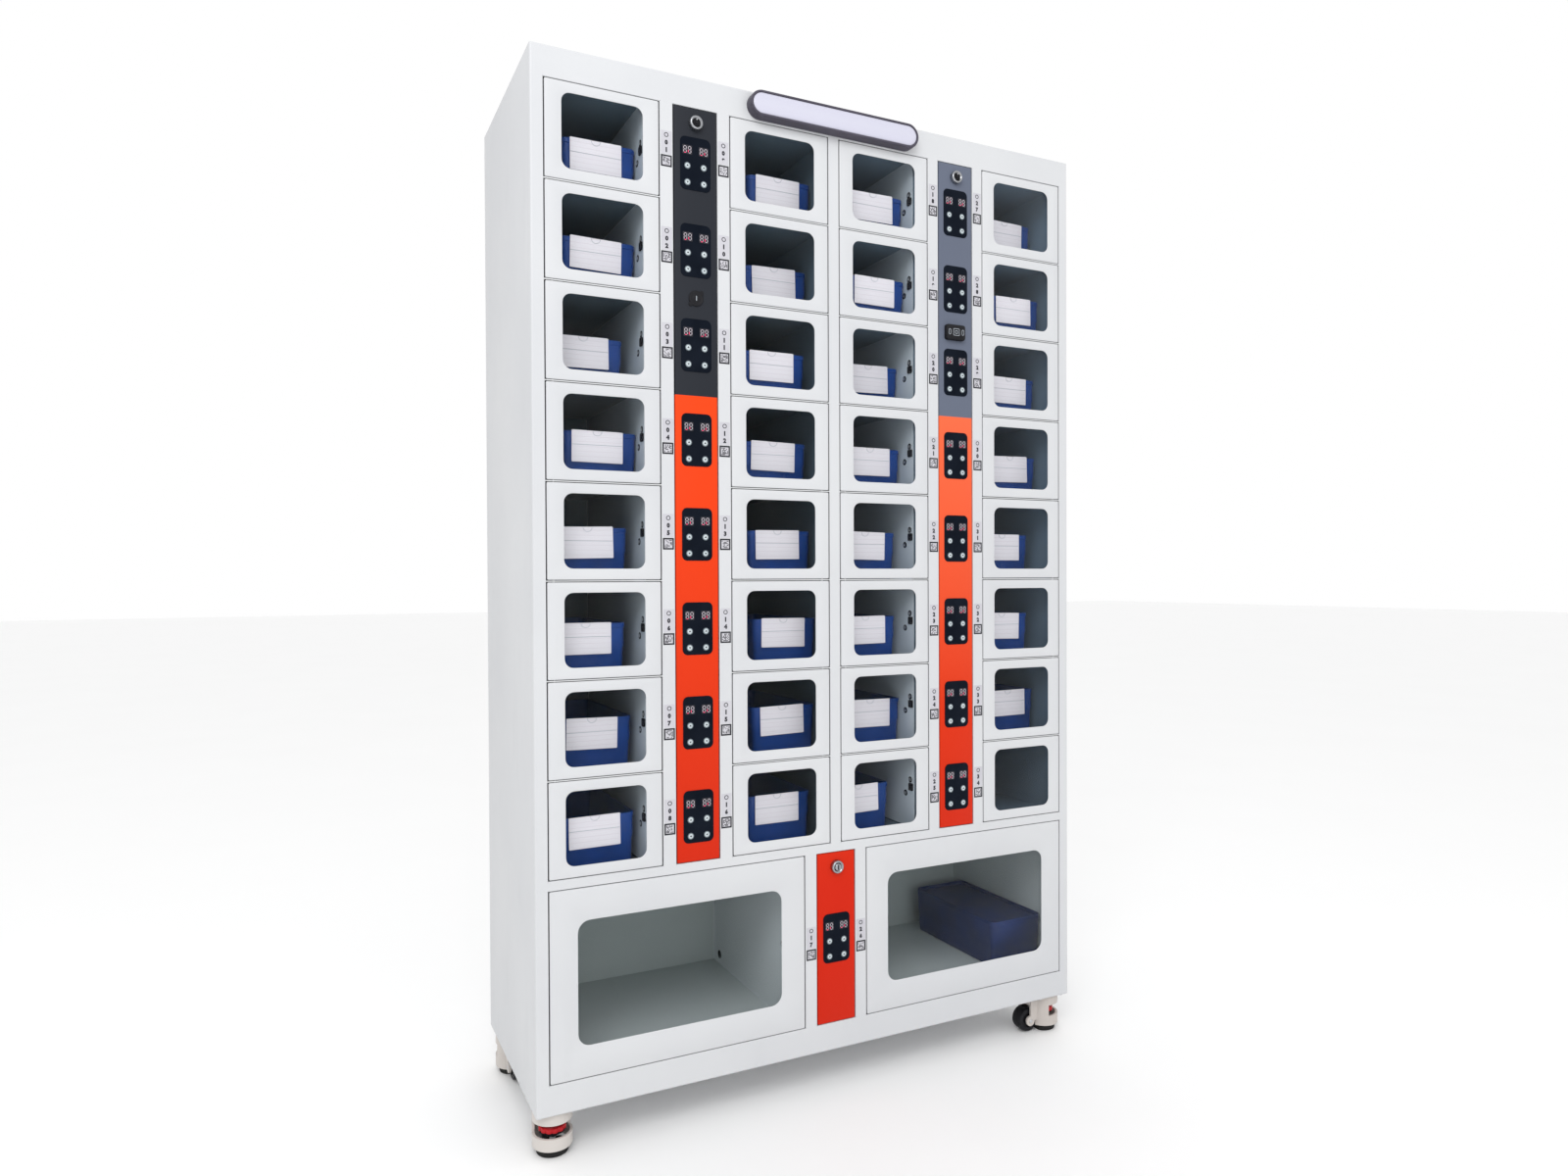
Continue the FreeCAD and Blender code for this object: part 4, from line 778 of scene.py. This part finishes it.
def stickers():
    """A pale sticker with a ring and two stacked digits, over a framed square with a plain grid
    of blocks, on the post beside each door."""
    digits = {str(d): glyph(str(d), 9.2) for d in range(10)}
    labels = Piece("door_stickers", "cabinet")
    prints = Piece("door_sticker_prints", "cabinet")
    strip_left = {side: limits("control_strip_" + side) for side in STRIPS}
    ring = np.array([(0, 4.3), (-0.06, 4.3), (-0.06, 2.9), (0, 2.9)])
    chance = np.random.default_rng(7)
    cell = slab((0, 0, 0), (1.7, 1.7), 0.05, [(0, 0), (-0.05, 0)], corner=0)
    for name in DOORS:
        number = int(name[5:])
        low, high = limits(name)
        middle_z = (low[2] + high[2]) / 2
        if number == 17:
            x = strip_left["centre"][0][0] - 14.75
            middle_z = BODY_HIGH[2] - 1656
        elif number == 26:
            x = strip_left["centre"][1][0] + 14.75
            middle_z = BODY_HIGH[2] - 1656
        else:
            strip = "left" if number < 17 else "right"
            before = number in range(1, 9) or number in range(18, 26)
            x = strip_left[strip][0][0] - 14.75 if before else strip_left[strip][1][0] + 14.75
        labels.skin(slab((x, FRONT, middle_z + 13.5), (21, 43), 0.8, [(0, 0), (-0.12, 0)], corner=1), STICKER)
        square_z = middle_z - 20
        labels.skin(slab((x, FRONT, square_z), (21.5, 21.5), 0.5, [(0, 0), (-0.12, 0)], corner=1), PRINT)
        labels.skin(slab((x, FRONT - 0.12, square_z), (15.6, 15.6), 0.2, [(0, 0), (-0.06, 0)], corner=1),
                    STICKER)
        i, j = np.nonzero(chance.random((7, 7)) < 0.5)
        prints.skin(turned(ring, (x, FRONT - 0.12, middle_z + 27.5), count=18), PRINT, ring=True)
        for place, digit in enumerate(f"{number:02d}"):
            points, faces = digits[digit]
            start = prints.count
            spot = np.array([x, FRONT - 0.15, middle_z + 13.8 - place * 13.6])
            prints.raw(points + spot, [[v + start for v in face] for face in faces], PRINT)
        prints.copies(cell, np.stack([x + (i - 3) * 2.0, 0 * i + FRONT - 0.18, square_z + (j - 3) * 2.0], 1),
                      PRINT)
    labels.build()
    prints.build()


stickers()

# ---------------------------------------------------------------- header lamp
def header_lamp():
    """A stadium housing with a rounded rim round a slightly domed diffuser."""
    size = (LAMP_HIGH[0] - LAMP_LOW[0], LAMP_HIGH[2] - LAMP_LOW[2])
    reach = FRONT - LAMP_LOW[1]
    centre = (0, FRONT, LAMP_Z)
    housing = Piece("lamp_housing", "cabinet", "header_lamp", slot="lamp_plastic")
    section = [(0, 0), (-reach + 3, 0), (-reach + 1.2, 0.6), (-reach + 0.3, 1.6), (-reach, 3),
               (-reach + 0.3, 4.2), (-reach + 1.6, 4.8), (-3, 5), (0, 5)]
    housing.skin(slab(centre, size, size[1] / 2, section, corner=16), LAMP_BODY, ring=True)
    housing.build(40)
    lens = Piece("lamp_lens", "cabinet")
    lens.skin(slab(centre, (size[0] - 10, size[1] - 10), size[1] / 2 - 5,
                   [(-3, 0.3), (-reach + 2.0, 0.3), (-reach + 1.2, 1.2), (-reach + 0.7, 5),
                    (-reach + 0.5, 12)], corner=16), LENS)
    lens.build(40)


header_lamp()

# ---------------------------------------------------------------- bins, cards and latches
# Where each bin stands: its left side from the door's left edge, and its front behind the doors.
BIN_PLACES = {
    1: (39.8, 48), 2: (40, 53), 3: (21, 74), 4: (41.2, 54), 5: (21.7, 54), 6: (17, 54), 7: (30, 62),
    8: (28, 40), 9: (62, 59), 10: (58, 70), 11: (39, 42), 12: (47, 54), 13: (56, 54), 14: (68, 54),
    15: (66.6, 58), 16: (53, 55), 18: (38.5, 45), 19: (38, 38), 20: (41, 70), 21: (35.5, 54),
    22: (22.5, 54), 23: (23, 54), 24: (38.5, 62), 25: (5, 55), 27: (43.7, 64), 28: (47.5, 38),
    29: (44, 50), 30: (50, 54), 31: (27, 54), 32: (26, 54), 33: (52, 66),
}


TUB_WIDTH, TUB_LENGTH, TUB_HEIGHT = 142, 300, 97


def tub(draft=5.0):
    """Layers of an open tub about its own middle: a drafted wall from the floor to a turned-out
    rim, then down the inside to the inner floor."""
    height = TUB_HEIGHT
    steps = [(0, draft + 5), (1.2, draft + 2), (4, draft), (height * 0.52, draft * 0.62),
             (height * 0.55, draft * 0.5 - 0.9), (height - 9, 1.6), (height - 8.6, 0.2), (height - 0.6, 0),
             (height, 0.6), (height, 3.2), (height - 1.0, 4.0), (height - 9, 4.2),
             (4.5, draft + 3), (2.6, draft + 6)]
    return slab((0, 0, 0), (TUB_WIDTH, TUB_LENGTH), 13, steps, "xy", 5)


def bins_and_cards():
    """One tub with its ruled card in each filled compartment, by column."""
    shell = tub()
    middle = np.array([TUB_WIDTH / 2, TUB_LENGTH / 2, 0])
    card = slab((0, 0, 0), (96, 58), 1.0, [(0, 0), (-0.8, 0)], corner=1)
    notch = turned([(0, 9), (-0.5, 9), (-0.5, 8.2), (0, 8.2)], (0, 0, 0), count=24)
    notch[..., 2] = np.minimum(notch[..., 2], 0)
    for column, start in enumerate(COLUMN_START):
        tubs = Piece(f"bins_column_{column + 1}", "cabinet", *(["storage_bins"] if column == 0 else []),
                     slot="blue_plastic")
        cards = Piece(f"bin_cards_column_{column + 1}", "cabinet")
        for number in range(start, start + ROWS):
            if number not in BIN_PLACES:
                continue
            low, high = limits(f"door_{number:02d}")
            left, front = low[0] + BIN_PLACES[number][0], FRONT + BIN_PLACES[number][1]
            floor = low[2] - LEVEL
            tubs.skin(shell + middle + (left, front, floor), BLUE)
            sway = ((number * 7) % 5 - 2) * 0.6
            lean = Matrix.Rotation(math.radians(sway), 3, "Y")
            place = np.array([left + 16 + 49, front - 0.6, floor + 39.5 + 30])
            cards.skin(card @ np.array(lean.transposed()) + place, CARD)
            # painted highlight: a thin pale strip across each card stands for the gleam on its clear holder
            cards.skin(slab(place + (0, -0.85, 3), (97, 1.0), 0.4, [(0, 0), (-0.3, 0)], corner=1), STICKER)
            cards.skin(notch + place + (0, -0.8, 28.5), STICKER, ring=True)
        tubs.build()
        cards.build()
    low, high = limits("door_26")
    spare = Piece("spare_bins", "cabinet", slot="blue_plastic")
    turn = np.array(Matrix.Rotation(math.radians(1), 3, "Z").transposed())
    corner = np.array([433.5, FRONT + 58, low[2] + FLOOR_RISE])
    spare.skin((shell + middle) @ turn + corner, NAVY)
    section = [(0.05, 3.5), (0.05, 0.2), (7.4, 0), (8, 0.6), (8, 3.4), (7, 4.2), (-80, 8.6), (-84, 12)]
    nested = slab(middle + (0, 0, TUB_HEIGHT), (TUB_WIDTH - 0.6, TUB_LENGTH - 0.6), 12.7, section, "xy", 5)
    spare.skin(nested @ turn + corner, NAVY)
    spare.build()


bins_and_cards()


def latches():
    """Behind each lock wall a latch case; on the compartment side its release tab between two
    ringed screws."""
    piece = Piece("latch_sets", "cabinet", "door_latches", slot="black_plastic")
    screw = [(0, 3.6), (1.0, 3.6), (1.3, 3.1), (0.9, 2.4), (0.5, 2.2), (0.5, 0)]
    for name in DOORS:
        low, high = limits(name)
        right = hinged_right(name)
        face = low[0] + WALL_INSET if right else high[0] - WALL_INSET
        inward = 1 if right else -1            # from the wall into the compartment
        middle = (low[2] + high[2]) / 2
        start = face - inward * (SHEET + 20.0)
        x0, x1 = sorted((start, face - inward * SHEET))
        piece.skin(block((x0, FRONT + 36, middle - 28), (x1, FRONT + 59, middle + 28), 0.8), BLACK)
        tab0, tab1 = sorted((face, face + inward * 2.9))
        piece.skin(slab(((tab0 + tab1) / 2, FRONT + 27, middle + 1), (15, 15.5), 3,
                        [(-1.4, 0), (1.0, 0), (1.4, 0.5)], "yz", 4), BLACK)
        for depth, up in ((31, 16), (49, -15)):
            piece.skin(turned(screw, (face, FRONT + depth, middle + up), (inward, 0, 0), 14), ZINC)
            piece.skin(turned([(0, 6.4), (0.4, 6.4), (0.5, 6.1), (0.5, 3.6), (0, 3.6)],
                              (face, FRONT + depth, middle + up), (inward, 0, 0), 18), BLACK, ring=True)
    low, high = limits("door_17")
    hole = (high[0] - WALL_INSET, FRONT + 375, low[2] + FLOOR_RISE + 20)
    piece.skin(turned([(0, 9), (0.6, 9), (0.8, 8.4), (0.4, 7.6), (0.2, 0)], hole, (-1, 0, 0), 28), BLACK)
    piece.build()


latches()

# ---------------------------------------------------------------- casters


def scallops(radius, depth, count, lobes):
    """A circle whose radius falls by depth * (1 - |cos(lobes * t / 2)|) between its lobes."""
    t = np.linspace(0, 2 * np.pi, count, endpoint=False)
    r = radius - depth * (1 - np.abs(np.cos(lobes * t / 2)))
    return np.stack([r * np.cos(t), r * np.sin(t)], 1)


def caster(corner):
    """A levelling caster: fork as cast, a wheel with tyre and hub, and the foot with its
    scalloped thumbwheel, hexagonal nut and ribbed pad."""
    fork, wheel, foot = (f"caster_{corner}_{part}" for part in ("fork", "wheel", "foot"))
    dress(fork, CREAM)
    roll = JOINTS[f"caster_{corner}_roll"]
    hub, axis = np.array(roll["pos_m"]) / MM, np.array(roll["axis"])
    piece = Piece(wheel + "_body", wheel, wheel, slot="black_nylon")
    piece.skin(turned([(-14.5, 16.5), (-14.5, 22), (-13.2, 24.6), (-10, 25.8), (0, 26), (10, 25.8),
                       (13.2, 24.6), (14.5, 22), (14.5, 16.5), (11, 15.5), (10.5, 8), (13.5, 7),
                       (13.5, 4.1), (-13.5, 4.1), (-13.5, 7), (-10.5, 8), (-11, 13.5)], hub, axis, 48),
               BLACK, ring=True)
    piece.skin(turned([(-22.4, 2.2), (-22.4, 3.4), (-21.8, 3.95), (21.8, 3.95), (22.4, 3.4), (22.4, 2.2),
                       (20.8, 2.0), (20.8, 0)], hub, axis, 20), ZINC)
    piece.build()
    centre = pivot_of(f"caster_{corner}_swivel")
    centre[2] = 0
    piece = Piece(foot + "_body", foot, foot, slot="foot_rubber")
    pad = turned([(0, 26.5), (0.6, 28.4), (3.6, 28.9), (4.2, 28.1), (4.8, 28.9), (8.6, 28.9), (9.2, 28.1),
                  (9.8, 28.8), (11.4, 27.6), (12, 24), (12, 6)], centre, (0, 0, 1), 96)
    trail = (hub - centre) * (1, 1, 0) / np.linalg.norm((hub - centre)[:2])
    beyond = np.maximum((pad - centre) @ trail - 21.5, 0)
    piece.skin(pad - beyond[..., None] * trail, RUBBER)
    thread = np.array([(12 + k * 0.75, 5.95 if k % 2 else 5.4) for k in range(22)])
    piece.skin(turned(thread, centre, (0, 0, 1), 20), ZINC)
    piece.skin(turned([(28, 10.6), (28.8, 11.9), (37.2, 11.9), (38, 10.6), (38, 6.2), (28, 6.2)], centre,
                      (0, 0, 1), 6), BLACK, ring=True)
    outline = scallops(25, 2.2, 96, 12)
    layers = [lift(outline * share, z, "xy")
              for z, share in ((40, 0.94), (41, 1.0), (48, 1.0), (49, 0.94), (49, 0.5))]
    piece.skin(np.array(layers) + centre, RED)
    skirt = [(34, 12.2), (35.5, 20.5), (37, 23.2), (39.9, 23.6), (39.9, 12.2)]
    piece.skin(turned(skirt, centre, (0, 0, 1), 48), BLACK, ring=True)
    piece.skin(turned([(49, 5.9), (66, 5.9), (67, 5.2), (67, 0)], centre, (0, 0, 1), 20), ZINC)
    piece.build()


for corner in CORNERS:
    caster(corner)

# ---------------------------------------------------------------- camera, floor and light
scene = bpy.context.scene
lens = bpy.data.cameras.new("camera")
lens.sensor_width, lens.lens = 36, 23.345
lens.clip_start, lens.clip_end = 0.05, 60
camera = bpy.data.objects.new("camera", lens)
scene.collection.objects.link(camera)
right = np.array([0.89604, -0.44396, -0.00420])
up = np.array([0.00833, 0.00734, 0.99994])
back = np.cross(right, up)
camera.matrix_world = Matrix([[right[0], up[0], back[0], -0.9924], [right[1], up[1], back[1], -1.9775],
                              [right[2], up[2], back[2], 1.0280], [0, 0, 0, 1]])
scene.camera = camera

floor_mesh = bpy.data.meshes.new("floor")
FLOOR_REACH = 30.0
floor_corners = ((-1, -1), (1, -1), (1, 1), (-1, 1))
floor_mesh.from_pydata([(i * FLOOR_REACH, j * FLOOR_REACH, 0) for i, j in floor_corners], [],
                       [(0, 1, 2, 3)])
floor = bpy.data.objects.new("floor", floor_mesh)
scene.collection.objects.link(floor)
pale = Finish("pale_floor")
floor_mesh.materials.append(pale.feed(
    Base_Color=pale.between(pale.noise(1.5, 3), (0.92, 0.92, 0.92), (0.94, 0.94, 0.94)),
    Roughness=pale.span(pale.noise(4, 3), 0.3, 0.7, 0.55, 0.65)))

world = bpy.data.worlds.new("studio")
world.use_nodes = True
world.node_tree.nodes["Background"].inputs["Color"].default_value = (1, 1, 1, 1)
world.node_tree.nodes["Background"].inputs["Strength"].default_value = 1.0
scene.world = world
scene.view_settings.view_transform = "Standard"


def soft_light(name, place, target, size, power):
    """A square area light at a place, facing a target."""
    data = bpy.data.lights.new(name, "AREA")
    data.shape, data.size, data.energy = "SQUARE", size, power
    item = bpy.data.objects.new(name, data)
    scene.collection.objects.link(item)
    away = np.array(place, float) - np.array(target, float)
    away /= np.linalg.norm(away)
    across = np.cross((0, 0, 1), away)
    across /= np.linalg.norm(across)
    above = np.cross(away, across)
    item.matrix_world = Matrix([[across[i], above[i], away[i], place[i]] for i in range(3)] + [[0, 0, 0, 1]])


soft_light("key", (-1.7, -2.7, 3.3), (-0.3, -0.2, 1.5), 1.8, 50)
soft_light("front", (-0.3, -4.2, 1.4), (0, 0, 0.9), 2.2, 14)
